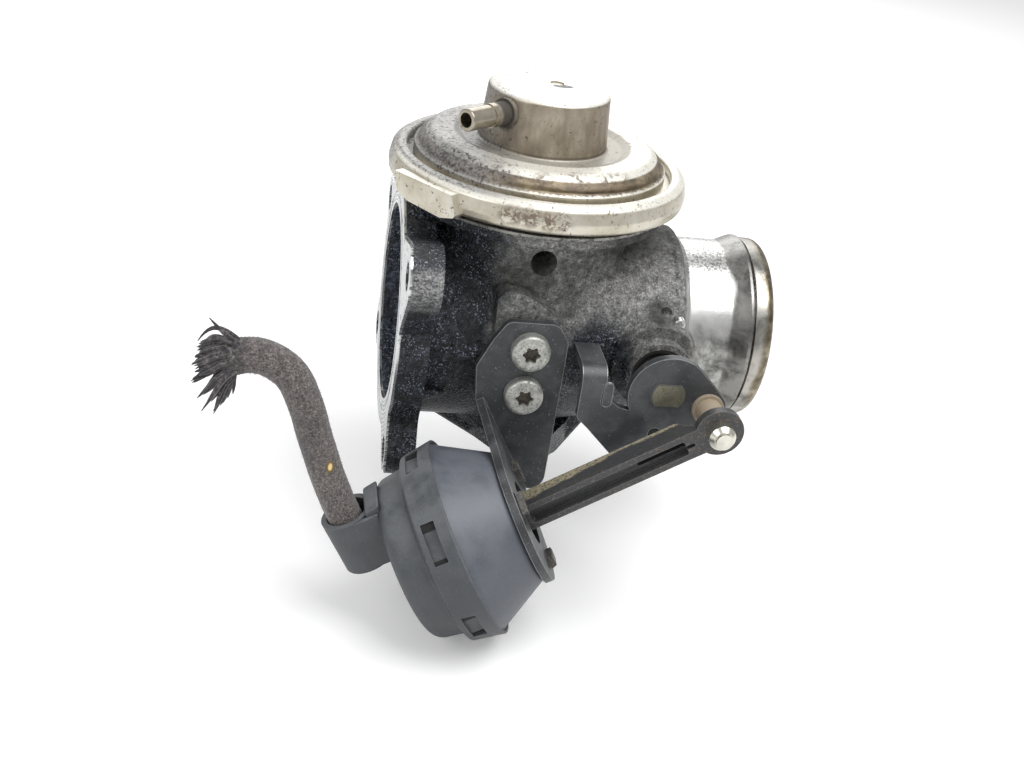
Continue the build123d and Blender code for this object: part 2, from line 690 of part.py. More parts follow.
with BuildPart() as flap_screws:
    for screw_y in (-9, 9):
        with BuildSketch(Plane.XY.offset(-3.9)):
            with Locations((SHAFT_X, screw_y)):
                Circle(1.5)
        extrude(amount=3.9 + SHAFT_R - 1.3)
        with BuildSketch(Plane.XY.offset(SHAFT_R - 1.3)):
            with Locations((SHAFT_X, screw_y)):
                Circle(2.8)
        extrude(amount=1.8)
        with BuildSketch(Plane.XY.offset(SHAFT_R + 0.5)):
            with Locations((SHAFT_X, screw_y)):
                Rectangle(0.8, 4)
                Rectangle(4, 0.8)
        extrude(amount=-1.0, mode=Mode.SUBTRACT)
save(flap_screws.part, "flap_screws")

for bush_label, bush_start, bush_length in (
    ("shaft_bush_front", BOSS_STEP_FRONT - 3.5, 12.5),
    ("shaft_bush_rear", -THROAT_R - 1.0, 10.5),
):
    with BuildPart() as bush:
        with BuildSketch(FRONT.offset(bush_start)):
            with Locations((SHAFT_X, 0)):
                Circle(BUSH_R)
                Circle(SHAFT_R + FIT, mode=Mode.SUBTRACT)
        extrude(amount=-bush_length)
    save(bush.part, bush_label)

with BuildPart() as shaft_seal:
    with BuildSketch(FRONT.offset(BOSS_STEP_FRONT - 0.4)):
        with Locations((SHAFT_X, 0)):
            Circle(SEAL_R)
            Circle(SHAFT_R + 0.05, mode=Mode.SUBTRACT)
    extrude(amount=-3.1)
    with BuildSketch(FRONT.offset(BOSS_STEP_FRONT - 0.4)):
        with Locations((SHAFT_X, 0)):
            Circle(SEAL_R - 1.2)
            Circle(SHAFT_R + 1.2, mode=Mode.SUBTRACT)
    extrude(amount=-1.2, mode=Mode.SUBTRACT)
save(shaft_seal.part, "shaft_seal")

with BuildPart() as shaft_end_plug:
    with BuildSketch(FRONT.offset(-BOSS_FRONT)):
        with Locations((SHAFT_X, 0)):
            Circle(BUSH_R)
    extrude(amount=1.8)
    fillet(shaft_end_plug.faces().sort_by(Axis.Y)[-1].edges(), 0.6)
save(shaft_end_plug.part, "shaft_end_plug")

# ================================================================ lever and pin
STOP_LEFT = 54.0             # bent stop arm of the lever
STOP_RIGHT = 61.6
STOP_TOP = 7.0
STOP_BACK = BODY_R + 0.4
BEND_R = 3.2                 # inside radius of the folded arm
web_top = STOP_TOP - BEND_R - LEVER_T
with BuildPart() as flap_lever:
    with BuildSketch(FRONT.offset(LEVER_BACK)):
        with BuildSketch(FRONT.offset(LEVER_BACK), mode=Mode.PRIVATE) as crank:
            with Locations((SHAFT_X, 0)):
                Circle(LEVER_HUB_R)
            with Locations((PIN_X, PIN_Z)):
                Circle(5.8)
            make_hull()
        add(crank.sketch)
        with BuildLine():
            web = FilletPolyline(
                (SHAFT_X, 0), (70.5, -6), (66.3, -4.9), (STOP_RIGHT, -1.2), (STOP_RIGHT, web_top),
                (STOP_LEFT, web_top), (STOP_LEFT, -9.2), (57.6, -12.4), (69.4, -24.2),
                (73.4, -24.0), (91.5, -8.8), (PIN_X, PIN_Z),
                radius=[4, 2.4, 2, 0.2, 0.2, 2, 3, 2.5, 3, 2],
            )
            Line(web @ 1, web @ 0)
        make_face()
        with Locations((78.8, -13.3)):
            Circle(2.0, mode=Mode.SUBTRACT)
        with Locations((PIN_X, PIN_Z)):
            Circle(3.0, mode=Mode.SUBTRACT)
    extrude(amount=LEVER_T)
    # double-D bore for the shaft end
    with BuildSketch(FRONT.offset(LEVER_BACK)):
        with Locations((SHAFT_X, 0)):
            Circle(SHAFT_R)
            Rectangle(12, 7.04, mode=Mode.INTERSECT)
    extrude(amount=LEVER_T, mode=Mode.SUBTRACT)
    # stop arm folded back over the casting
    with BuildSketch(Plane.YZ.offset(STOP_LEFT)):
        with BuildLine():
            fold = FilletPolyline(
                (-LEVER_BACK, web_top - 1), (-LEVER_BACK, STOP_TOP - LEVER_T),
                (-STOP_BACK, STOP_TOP - LEVER_T), (-STOP_BACK, STOP_TOP),
                (-LEVER_BACK - LEVER_T, STOP_TOP), (-LEVER_BACK - LEVER_T, web_top - 1),
                radius=[BEND_R, 0.4, 0.4, BEND_R + LEVER_T],
            )
            Line(fold @ 1, fold @ 0)
        make_face()
    extrude(amount=STOP_RIGHT - STOP_LEFT)
    # stiffening dart pressed into the bend
    with BuildSketch(FRONT.offset(LEVER_BACK + LEVER_T)):
        with Locations((STOP_RIGHT + 0.6, -0.8)):
            SlotCenterToCenter(5, 3.4, rotation=90)
    extrude(amount=0.5, taper=30)
save(flap_lever.part, "flap_lever")

with BuildPart() as lever_pin:
    lever_front = LEVER_BACK + LEVER_T
    with BuildSketch(FRONT.offset(LEVER_BACK)):
        with Locations((PIN_X, PIN_Z)):
            Circle(3.0)
    extrude(amount=LEVER_T)
    with BuildSketch(FRONT.offset(LEVER_BACK - 1.2)):
        with Locations((PIN_X, PIN_Z)):
            Circle(4.4)
    extrude(amount=1.2)
    with BuildSketch(FRONT.offset(lever_front)):
        with Locations((PIN_X, PIN_Z)):
            Circle(PIN_R + 0.9)
    extrude(amount=1.4)
    with BuildSketch(FRONT.offset(lever_front)):
        with Locations((PIN_X, PIN_Z)):
            Circle(PIN_R)
    extrude(amount=PIN_TIP - 2.4 - lever_front)
    with BuildSketch(FRONT.offset(PIN_TIP - 2.4)):
        with Locations((PIN_X, PIN_Z)):
            Circle(PIN_R)
    extrude(amount=1.4, taper=42)
    with BuildSketch(FRONT.offset(PIN_TIP - 1.0)):
        with Locations((PIN_X, PIN_Z)):
            Circle(2.5)
    extrude(amount=1.0)
save(lever_pin.part, "lever_pin")

# ================================================================ actuator rod
half_rod = Vector(0, ROD_W / 2, 0)
rod_rear = Plane(origin=pin_point + half_rod, x_dir=rod_dir, z_dir=Vector(0, -1, 0))
neck_end = rod_length - BALL_R - 2.7
neck_r = 2.6
rod_front = Plane(origin=pin_point - half_rod, x_dir=rod_dir, z_dir=Vector(0, 1, 0))
with BuildPart() as actuator_rod:
    with BuildSketch(rod_rear):
        Circle(EYE_R)
        with Locations((neck_end / 2, 0)):
            Rectangle(neck_end, ROD_H)
    extrude(amount=ROD_W)
    # channel pressed into both faces, leaving a web and two lips
    channel_start = EYE_R + 3.2
    channel_end = rod_length - 10.5
    for rod_face in (rod_rear, rod_front):
        with BuildSketch(rod_face):
            with Locations(((channel_start + channel_end) / 2, 0)):
                RectangleRounded(channel_end - channel_start, ROD_H - 2 * ROD_LIP, 0.8)
        extrude(amount=(ROD_W - ROD_WEB) / 2, mode=Mode.SUBTRACT)
    # slit that lets the eye spring over the pin, bore for the pin
    with BuildSketch(rod_rear):
        with Locations((EYE_R + 9.5, 0)):
            SlotOverall(18, 1.3)
        Circle(PIN_R + 0.06)
    extrude(amount=ROD_W, mode=Mode.SUBTRACT)
    # neck and ball that sit in the diaphragm plate's socket
    with BuildSketch(Plane(origin=pin_point, x_dir=rod_dir, z_dir=Vector(0, -1, 0))):
        with BuildLine():
            ball_start = rod_length - sqrt(BALL_R**2 - neck_r**2)
            Polyline((neck_end - 1, 0), (neck_end - 1, neck_r), (ball_start, neck_r))
            ThreePointArc(
                (ball_start, neck_r), (rod_length, BALL_R), (rod_length + BALL_R, 0)
            )
            Line((rod_length + BALL_R, 0), (neck_end - 1, 0))
        make_face()
    revolve(axis=Axis(pin_point, rod_dir))
save(actuator_rod.part, "actuator_rod")

# ================================================================ vacuum actuator
def cup_radius(station):
    """Outside radius of the conical actuator cup at a station."""
    return RING_REAR_R + (CUP_NOSE_R - RING_REAR_R) * station / CUP_LENGTH


HOOK_ANGLE = 15.5
HOOK_REACH = 15.6
with BuildPart() as actuator_cup:
    add(act_section(
        [(-2.0, 0), (-2.0, 29.7), (-0.2, 29.7), (-0.2, cup_radius(0)),
         (CUP_LENGTH, CUP_NOSE_R), (CUP_LENGTH, 0)],
        [0.2, 0.12, 0.12, 1.6],
    ))
    add(act_section(
        [(-2.1, 0), (-2.1, cup_radius(0) - ACT_WALL),
         (CUP_LENGTH - ACT_WALL, CUP_NOSE_R - ACT_WALL + 1.1), (CUP_LENGTH - ACT_WALL, 0)],
        [0.2, 1.2],
    ), mode=Mode.SUBTRACT)
    with BuildSketch(across(CUP_LENGTH - ACT_WALL - 0.5)):
        Circle(ROD_HOLE_R)
    extrude(amount=ACT_WALL + 1, mode=Mode.SUBTRACT)
    # snap hooks that hold the cup to the bracket
    with BuildSketch(across(CUP_LENGTH)):
        with PolarLocations(HOOK_REACH, 3, start_angle=HOOK_ANGLE):
            Rectangle(2.4, 7)
    extrude(amount=BRACKET_T + 1.8)
    with BuildSketch(across(CUP_LENGTH + BRACKET_T + 0.2)):
        with PolarLocations(HOOK_REACH + 0.8, 3, start_angle=HOOK_ANGLE):
            Rectangle(4.0, 7)
    extrude(amount=1.8, taper=14)
save(actuator_cup.part, "actuator_cup")

with BuildPart() as actuator_cap:
    add(act_section(
        [(-CAP_REAR, 0), (-CAP_REAR, 25.0), (-RING_LENGTH - 1, CAP_R),
         (-RING_LENGTH, RING_REAR_R), (0, RING_R), (0, 30.0), (-3.4, 30.0), (-3.4, 0)],
        [4.5, 1.0, 0.8, 0.4, 0.2, 0.2],
    ))
    add(act_section(
        [(-CAP_REAR + ACT_WALL, 0), (-CAP_REAR + ACT_WALL, 23.2), (-RING_LENGTH, CAP_R - ACT_WALL),
         (-3.3, 27.2), (-3.3, 0)],
        [3.0, 2.0, 0.2],
    ), mode=Mode.SUBTRACT)
    # snap windows of the ring
    with BuildSketch(across(-8.2)):
        with PolarLocations(RING_R - 0.7, 6, start_angle=23):
            Rectangle(3.4, 12.4)
    extrude(amount=4.2, mode=Mode.SUBTRACT)
    # elbow and collar for the hose
    seat_point = act_centre + act_u * HOSE_STATION
    collar_station = HOSE_STATION + COLLAR_SHIFT
    hose_plane = Plane(origin=seat_point, x_dir=Vector(0, 1, 0), z_dir=act_n)
    collar_plane = Plane(
        origin=act_centre + act_u * collar_station, x_dir=Vector(0, 1, 0), z_dir=act_n
    )
    elbow_reach = -CAP_REAR - collar_station
    with BuildSketch(collar_plane.offset(COLLAR_LOW)):
        with Locations((0, -elbow_reach / 2 - 1)):
            Rectangle(1.2 * COLLAR_R, elbow_reach + 2)
    extrude(amount=COLLAR_TOP - COLLAR_LOW - 6)
    with BuildSketch(collar_plane.offset(COLLAR_LOW)):
        Circle(COLLAR_R)
    extrude(amount=COLLAR_TOP - COLLAR_LOW)
    with BuildSketch(hose_plane.offset(HOSE_SEAT)):
        Circle(HOSE_D / 2 + FIT)
    extrude(amount=COLLAR_TOP, mode=Mode.SUBTRACT)
    with BuildSketch(collar_plane.offset(COLLAR_TOP - MOUTH_DEPTH)):
        Circle(MOUTH_R)
    extrude(amount=MOUTH_DEPTH + 1, mode=Mode.SUBTRACT)
    with BuildSketch(hose_plane.offset(COLLAR_LOW + 1.2)):
        Circle(PORT_R)
    extrude(amount=HOSE_SEAT - COLLAR_LOW, mode=Mode.SUBTRACT)
    with BuildSketch(across(HOSE_STATION)):
        with Locations((0, COLLAR_LOW + 1.2 + PORT_R)):
            Circle(PORT_R)
    extrude(amount=-HOSE_STATION - CAP_REAR + ACT_WALL + 2, mode=Mode.SUBTRACT)
save(actuator_cap.part, "actuator_cap")

PLATE_REAR = BALL_STATION - BALL_R - 2.0     # spring side of the diaphragm plate
plate_front = PLATE_REAR + 1.6
with BuildPart() as actuator_plate:
    with BuildSketch(across(PLATE_REAR)):
        Circle(17)
    extrude(amount=plate_front - PLATE_REAR)
    with BuildSketch(across(PLATE_REAR - 5)):
        Circle(17)
        Circle(15.7, mode=Mode.SUBTRACT)
    extrude(amount=5)
    with BuildSketch(across(plate_front)):
        Circle(SOCKET_R + 2)
        Circle(SOCKET_R, mode=Mode.SUBTRACT)
    extrude(amount=7.2)
save(actuator_plate.part, "actuator_plate")

with BuildPart() as actuator_diaphragm:
    with BuildSketch(ACT_PROFILE):
        with BuildLine():
            skin = FilletPolyline(
                (-2.7, 29.2), (-2.7, 26.6), (plate_front + 2.4, 21.6), (plate_front + 2.4, 19.4),
                (plate_front + 0.5, 17.6), (plate_front + 0.5, SOCKET_R + 2.6),
                radius=[1.6, 0.8, 0.8, 1.2],
            )
            offset(skin, 0.45, kind=Kind.TANGENT)
        make_face()
    revolve(axis=act_axis)
save(actuator_diaphragm.part, "actuator_diaphragm")

spring_start = -CAP_REAR + ACT_WALL + 1.05
with BuildPart() as actuator_spring:
    add(helix_spring(across(spring_start), 12.0, 1.0, PLATE_REAR - 1.05 - spring_start, 4.5))
save(actuator_spring.part, "actuator_spring")

# ================================================================ bracket and screws
def bracket_corner(station, height):
    """(X, Z) of a point given along and across the actuator axis."""
    point = act_centre + act_u * station + act_n * height
    return (point.X, point.Z)


with BuildPart() as actuator_bracket:
    bend_low = bracket_corner(flange_station, -6.5)
    bend_high = bracket_corner(flange_station, 28.5)
    with BuildSketch(FRONT.offset(PAD_FRONT)):
        with BuildLine():
            plate = FilletPolyline(
                bend_low, (47.6, -43.6), (50.8, -41.0), (51.2, -4), (51.2, 8.6), (47.6, 14.2),
                (32.2, 14.2), (28.4, 8.2), (24.2, -1.2), bend_high,
                radius=[3, 5, 4, 4, 4, 3, 2, 3],
            )
            Line(plate @ 1, plate @ 0)
        make_face()
        with Locations(*SCREWS):
            Circle(SCREW_R + 0.4, mode=Mode.SUBTRACT)
    extrude(amount=BRACKET_T)
    # flange folded forwards, square to the rod
    fold_x = -PAD_FRONT - ACT_Y
    with BuildSketch(across(flange_station)):
        with BuildSketch(mode=Mode.PRIVATE) as flange:
            Circle(21.6)
            with Locations((fold_x - 0.5, -5.5), (fold_x - 0.5, 27.5)):
                Rectangle(1, 2)
            make_hull()
        add(flange.sketch)
        Circle(ROD_HOLE_R + 0.6, mode=Mode.SUBTRACT)
        with PolarLocations(HOOK_REACH + 0.2, 3, start_angle=HOOK_ANGLE):
            Rectangle(3.2, 7.6, mode=Mode.SUBTRACT)
    extrude(amount=BRACKET_T)
save(actuator_bracket.part, "actuator_bracket")

with BuildPart() as bracket_screws:
    head_base = PAD_FRONT + BRACKET_T
    for screw_x, screw_z in SCREWS:
        with BuildSketch(FRONT.offset(head_base)):
            with Locations((screw_x, screw_z)):
                Circle(SCREW_HEAD_R)
        extrude(amount=SCREW_HEAD_H)
        with BuildSketch(FRONT.offset(PAD_FRONT - 10.5)):
            with Locations((screw_x, screw_z)):
                Circle(SCREW_R - 0.02)
        extrude(amount=10.5 + BRACKET_T)
    fillet(bracket_screws.faces().sort_by(Axis.Y)[:2].edges(), 1.5)
    for screw_x, screw_z in SCREWS:
        with BuildSketch(FRONT.offset(head_base + SCREW_HEAD_H)):
            with Locations((screw_x, screw_z)):
                Circle(2.15)
                with PolarLocations(2.15, 6):
                    Circle(0.65)
        extrude(amount=-2.4, mode=Mode.SUBTRACT)
save(bracket_screws.part, "bracket_screws")

# ================================================================ vacuum hose
hose_start = seat_point + act_n * HOSE_SEAT
hose_points = [hose_start, hose_start + act_n * HOSE_RUN]
hose_points += [Vector(x, HOSE_Y, z) for x, z in HOSE_POINTS]
hose_radii = []
for before, corner, after in zip(hose_points, hose_points[1:], hose_points[2:]):
    run_in = corner - before
    run_out = after - corner
    turn = radians(run_in.get_angle(run_out))
    hose_radii.append(0.45 * min(run_in.length, run_out.length) / tan(turn / 2))
with BuildPart() as vacuum_hose:
    with BuildLine():
        hose_path = FilletPolyline(*hose_points, radius=hose_radii)
    with BuildSketch(Plane(origin=hose_path @ 0, z_dir=hose_path % 0)):
        Circle(HOSE_D / 2)
    sweep(path=hose_path)
save(vacuum_hose.part, "vacuum_hose")
hose_volume = pi * (HOSE_D / 2) ** 2 * hose_path.length
print("hose radii", [round(r, 1) for r in hose_radii])
print("hose length", round(hose_path.length, 1), "volume share",
      round(vacuum_hose.part.volume / hose_volume, 4))
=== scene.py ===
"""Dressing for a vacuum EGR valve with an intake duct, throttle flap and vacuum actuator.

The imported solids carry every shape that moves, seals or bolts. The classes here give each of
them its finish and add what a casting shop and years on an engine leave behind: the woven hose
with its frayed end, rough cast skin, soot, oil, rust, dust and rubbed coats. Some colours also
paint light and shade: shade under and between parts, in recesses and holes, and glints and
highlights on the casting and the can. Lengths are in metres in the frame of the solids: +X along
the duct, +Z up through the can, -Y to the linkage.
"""

import logging
import math
import random
from dataclasses import dataclass
from enum import Enum
from typing import Protocol, Sequence

import bpy
from mathutils import Matrix, Vector

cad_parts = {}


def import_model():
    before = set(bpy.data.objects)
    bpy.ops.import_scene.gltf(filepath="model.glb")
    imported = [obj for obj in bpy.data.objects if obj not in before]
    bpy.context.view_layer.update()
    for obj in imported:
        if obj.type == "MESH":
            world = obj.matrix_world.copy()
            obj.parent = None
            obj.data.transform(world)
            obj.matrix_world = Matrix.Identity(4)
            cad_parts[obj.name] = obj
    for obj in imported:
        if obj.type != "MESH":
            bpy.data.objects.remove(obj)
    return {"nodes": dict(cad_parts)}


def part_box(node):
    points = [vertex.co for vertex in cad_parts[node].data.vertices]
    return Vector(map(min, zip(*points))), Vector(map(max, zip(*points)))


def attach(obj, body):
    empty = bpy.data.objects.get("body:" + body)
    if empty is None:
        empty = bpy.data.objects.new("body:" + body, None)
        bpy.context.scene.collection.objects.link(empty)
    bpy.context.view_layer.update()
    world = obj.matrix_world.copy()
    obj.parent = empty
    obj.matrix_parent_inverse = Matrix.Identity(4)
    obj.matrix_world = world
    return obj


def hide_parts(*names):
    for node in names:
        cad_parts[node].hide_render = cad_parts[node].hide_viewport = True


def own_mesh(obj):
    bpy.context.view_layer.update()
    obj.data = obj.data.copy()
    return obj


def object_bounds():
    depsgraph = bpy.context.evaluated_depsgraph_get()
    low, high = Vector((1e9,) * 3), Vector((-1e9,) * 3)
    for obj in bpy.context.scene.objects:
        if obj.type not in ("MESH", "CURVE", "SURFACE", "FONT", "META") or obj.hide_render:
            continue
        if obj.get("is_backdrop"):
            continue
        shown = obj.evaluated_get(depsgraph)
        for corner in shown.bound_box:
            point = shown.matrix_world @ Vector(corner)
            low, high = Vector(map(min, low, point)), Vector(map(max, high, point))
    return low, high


logging.basicConfig(level=logging.INFO, format="%(name)s: %(message)s")
log = logging.getLogger("egr_valve")

MM = 0.001
Colour = tuple[float, float, float, float]
Stop = tuple[float, Colour]
Point = tuple[float, float, float]
Row = Sequence[tuple[float, float]]

MERGE = 0.002 * MM                     # points closer than this are one
CAN_AXIS: Point = (41.6, 0.0, 0.0)     # stem, can and chamber stand on it, in millimetres
RING_FRONT: Point = (25.1, -65.0, -45.5)   # middle of the actuator's ring, in millimetres
ACTUATOR_LEAN = math.radians(29.25)    # rise of the actuator's axis toward the lever
ALL_ALIKE: Point = (1.0, 1.0, 1.0)
ACROSS = Vector((0.0, 1.0, 0.0))       # square to the linkage, away from it


def paint(red: int, green: int, blue: int) -> Colour:
    """Linear colour of a swatch mixed by its display values.

    Args:
        red: Display value from 0 to 255.
        green: Display value from 0 to 255.
        blue: Display value from 0 to 255.

    Returns:
        The linear colour with full opacity.
    """
    def linear(value: int) -> float:
        """Linear share of one display value."""
        share = value / 255
        return share / 12.92 if share <= 0.04045 else ((share + 0.055) / 1.055) ** 2.4

    return (linear(red), linear(green), linear(blue), 1.0)


def grey(level: float) -> Colour:
    """Linear grey of a level from 0 to 1."""
    return (level, level, level, 1.0)


def actuator_axes() -> tuple[Vector, Vector]:
    """Directions along the actuator toward the lever, and up across it."""
    run, climb = math.cos(ACTUATOR_LEAN), math.sin(ACTUATOR_LEAN)
    return Vector((run, 0.0, climb)), Vector((-climb, 0.0, run))


def spoke(rise: Vector, turn: float) -> Vector:
    """Direction at an angle from the +Y side toward a direction that rises square to it."""
    return ACROSS * math.cos(turn) + rise * math.sin(turn)


class Axis(Enum):
    """Axes of the solids' frame that a pattern may turn round."""

    DUCT = (1.0, 0.0, 0.0)
    STEM = (0.0, 0.0, 1.0)
    SHAFT = (0.0, 1.0, 0.0)


class Bench:
    """Node bench on which one material is put together."""

    def __init__(self, name: str) -> None:
        """Start an empty material.

        Args:
            name: Name of the material.
        """
        self.material = bpy.data.materials.new(name)
        self.material.use_nodes = True
        self.tree = self.material.node_tree
        self.tree.nodes.clear()
        self.place = self.add("ShaderNodeTexCoord").outputs["Object"]
        split = self.add("ShaderNodeSeparateXYZ")
        self.wire(self.place, split.inputs[0])
        self.x, self.y, self.z = split.outputs

    def add(self, kind: str) -> bpy.types.Node:
        """Put a node on the bench."""
        return self.tree.nodes.new(kind)

    def wire(self, source: object, target: bpy.types.NodeSocket) -> None:
        """Connect a socket, or set a plain value.

        Args:
            source: Output socket, number or colour.
            target: Input socket that takes it.
        """
        if isinstance(source, bpy.types.NodeSocket):
            self.tree.links.new(source, target)
        else:
            target.default_value = source

    def sum(self, operation: str, first: object, second: object = 0.0) -> bpy.types.NodeSocket:
        """Result of one arithmetic step, named as in the maths node."""
        node = self.add("ShaderNodeMath")
        node.operation = operation
        self.wire(first, node.inputs[0])
        self.wire(second, node.inputs[1])
        return node.outputs[0]

    def both(self, *shares: object) -> bpy.types.NodeSocket:
        """Product of two or more shares."""
        result = shares[0]
        for share in shares[1:]:
            result = self.sum("MULTIPLY", result, share)
        return result

    def either(self, *shares: object) -> bpy.types.NodeSocket:
        """Largest of two or more shares."""
        result = shares[0]
        for share in shares[1:]:
            result = self.sum("MAXIMUM", result, share)
        return result

    def shifted(self, offset: Sequence[float], stretch: Sequence[float]) -> bpy.types.NodeSocket:
        """Place on the piece, stretched per axis and then moved.

        Args:
            offset: Shift in metres.
            stretch: Factor for each axis.

        Returns:
            The vector to feed a pattern.
        """
        node = self.add("ShaderNodeMapping")
        self.wire(self.place, node.inputs["Vector"])
        node.inputs["Location"].default_value = offset
        node.inputs["Scale"].default_value = stretch
        return node.outputs[0]

    def away(self, point: Point, stretch: Point = ALL_ALIKE) -> bpy.types.NodeSocket:
        """Distance from a point, stretched per axis.

        Args:
            point: The point in millimetres.
            stretch: Factor for each axis, larger where the spot is narrower.

        Returns:
            The distance in metres.
        """
        offset = [-value * MM * factor for value, factor in zip(point, stretch)]
        node = self.add("ShaderNodeVectorMath")
        node.operation = "LENGTH"
        self.wire(self.shifted(offset, stretch), node.inputs[0])
        return node.outputs["Value"]

    def radius(self, axis: Axis, centre: Point = (0.0, 0.0, 0.0)) -> bpy.types.NodeSocket:
        """Distance from a line along an axis through a centre in millimetres."""
        stretch = tuple(1.0 - value for value in axis.value)
        return self.away(centre, stretch)

    def upward(self) -> bpy.types.NodeSocket:
        """How far the surface faces up, from -1 to 1."""
        split = self.add("ShaderNodeSeparateXYZ")
        self.wire(self.add("ShaderNodeNewGeometry").outputs["Normal"], split.inputs[0])
        return split.outputs[2]

    def rubbed(self, reach: float, grain: object = 0.5) -> bpy.types.NodeSocket:
        """Share that is 1 on outer edges where a coat rubs off.

        Args:
            reach: Width of the edge in metres.
            grain: Noise that breaks the line up.

        Returns:
            The share.
        """
        soft = self.add("ShaderNodeBevel")
        soft.samples = 4
        soft.inputs["Radius"].default_value = reach
        node = self.add("ShaderNodeVectorMath")
        node.operation = "DOT_PRODUCT"
        self.wire(soft.outputs[0], node.inputs[0])
        self.wire(self.add("ShaderNodeNewGeometry").outputs["Normal"], node.inputs[1])
        broken = self.both(self.sum("SUBTRACT", grain, 0.5), 0.12)
        return self.fade(self.sum("ADD", node.outputs["Value"], broken), 0.97, 0.80)

    def speckle(
        self, size: float, detail: float = 5.0, rough: float = 0.55, warp: float = 0.0,
        where: object = None,
    ) -> bpy.types.NodeSocket:
        """Soft noise whose blotches are about a given size.

        Args:
            size: Blotch size in metres.
            detail: Octaves of finer noise.
            rough: Weight of the finer octaves.
            warp: Distortion of the blotches.
            where: Vector to use in place of the object place.

        Returns:
            Value around 0.5.
        """
        node = self.add("ShaderNodeTexNoise")
        self.wire(self.place if where is None else where, node.inputs["Vector"])
        node.inputs["Scale"].default_value = 1 / size
        node.inputs["Detail"].default_value = detail
        node.inputs["Roughness"].default_value = rough
        node.inputs["Distortion"].default_value = warp
        return node.outputs["Fac"]

    def pebbles(self, size: float, where: object = None) -> bpy.types.NodeSocket:
        """Distance to the nearest of scattered points, 0 at a point and about 1 between."""
        node = self.add("ShaderNodeTexVoronoi")
        self.wire(self.place if where is None else where, node.inputs["Vector"])
        node.inputs["Scale"].default_value = 1 / size
        return node.outputs["Distance"]

    def fade(self, value: object, start: float, end: float) -> bpy.types.NodeSocket:
        """Smooth share that is 0 at start and 1 at end, in either order."""
        node = self.add("ShaderNodeMapRange")
        node.interpolation_type = "SMOOTHSTEP"
        self.wire(value, node.inputs["Value"])
        low, high = min(start, end), max(start, end)
        node.inputs["From Min"].default_value = low
        node.inputs["From Max"].default_value = high
        node.inputs["To Min"].default_value = 0.0 if start < end else 1.0
        node.inputs["To Max"].default_value = 1.0 if start < end else 0.0
        return node.outputs["Result"]

    def band(self, value: object, middle: float, half: float, soft: float) -> bpy.types.NodeSocket:
        """Share that is 1 within half of the middle and falls to 0 over soft beyond it."""
        off = self.sum("ABSOLUTE", self.sum("SUBTRACT", value, middle))
        return self.fade(off, half + soft, half)

    def ramp(self, value: object, stops: Sequence[Stop]) -> bpy.types.NodeSocket:
        """Colour picked along a row of stops.

        Args:
            value: Share from 0 to 1.
            stops: Positions with their colours.

        Returns:
            The colour.
        """
        node = self.add("ShaderNodeValToRGB")
        self.wire(value, node.inputs[0])
        row = node.color_ramp
        while len(row.elements) < len(stops):
            row.elements.new(0.5)
        for element, (position, colour) in zip(row.elements, stops):
            element.position = position
            element.color = colour
        return node.outputs["Color"]

    def lay(self, share: object, under: object, over: object) -> bpy.types.NodeSocket:
        """Colour over another by a share.

        Args:
            share: How much of the upper colour shows.
            under: Lower colour.
            over: Upper colour.

        Returns:
            The combined colour.
        """
        node = self.add("ShaderNodeMix")
        node.data_type = "RGBA"
        self.wire(share, node.inputs[0])
        self.wire(under, node.inputs[6])
        self.wire(over, node.inputs[7])
        return node.outputs[2]

    def between(self, share: object, low: object, high: object) -> bpy.types.NodeSocket:
        """Number between two others by a share."""
        node = self.add("ShaderNodeMix")
        self.wire(share, node.inputs[0])
        self.wire(low, node.inputs[2])
        self.wire(high, node.inputs[3])
        return node.outputs[0]

    def relief(
        self, height: object, depth: float, strength: object = 1.0, under: object = None
    ) -> bpy.types.NodeSocket:
        """Bumped normal.

        Args:
            height: Height from 0 to 1.
            depth: Height of the full range in metres.
            strength: Share of the bump.
            under: Normal to lay it on.

        Returns:
            The normal.
        """
        node = self.add("ShaderNodeBump")
        self.wire(height, node.inputs["Height"])
        node.inputs["Distance"].default_value = depth
        self.wire(strength, node.inputs["Strength"])
        if under is not None:
            self.wire(under, node.inputs["Normal"])
        return node.outputs["Normal"]

    def close(
        self, colour: object, rough: object, metal: object, normal: object = None,
        **constants: float,
    ) -> bpy.types.Material:
        """Finish the material with its shader.

        Args:
            colour: Base colour.
            rough: Roughness.
            metal: Metallic share.
            normal: Bumped normal.
            **constants: Other shader sockets that are the same all over.

        Returns:
            The finished material.
        """
        shader = self.add("ShaderNodeBsdfPrincipled")
        self.wire(colour, shader.inputs["Base Color"])
        self.wire(rough, shader.inputs["Roughness"])
        self.wire(metal, shader.inputs["Metallic"])
        if normal is not None:
            self.wire(normal, shader.inputs["Normal"])
        for name, value in constants.items():
            shader.inputs[name.replace("_", " ").title()].default_value = value
        output = self.add("ShaderNodeOutputMaterial")
        self.wire(shader.outputs[0], output.inputs[0])
        return self.material


# ------------------------------------------------------------------------------ finishes
class Finish(Protocol):
    """Anything that can be made into a material."""

    def material(self) -> bpy.types.Material:
        """Build the material."""


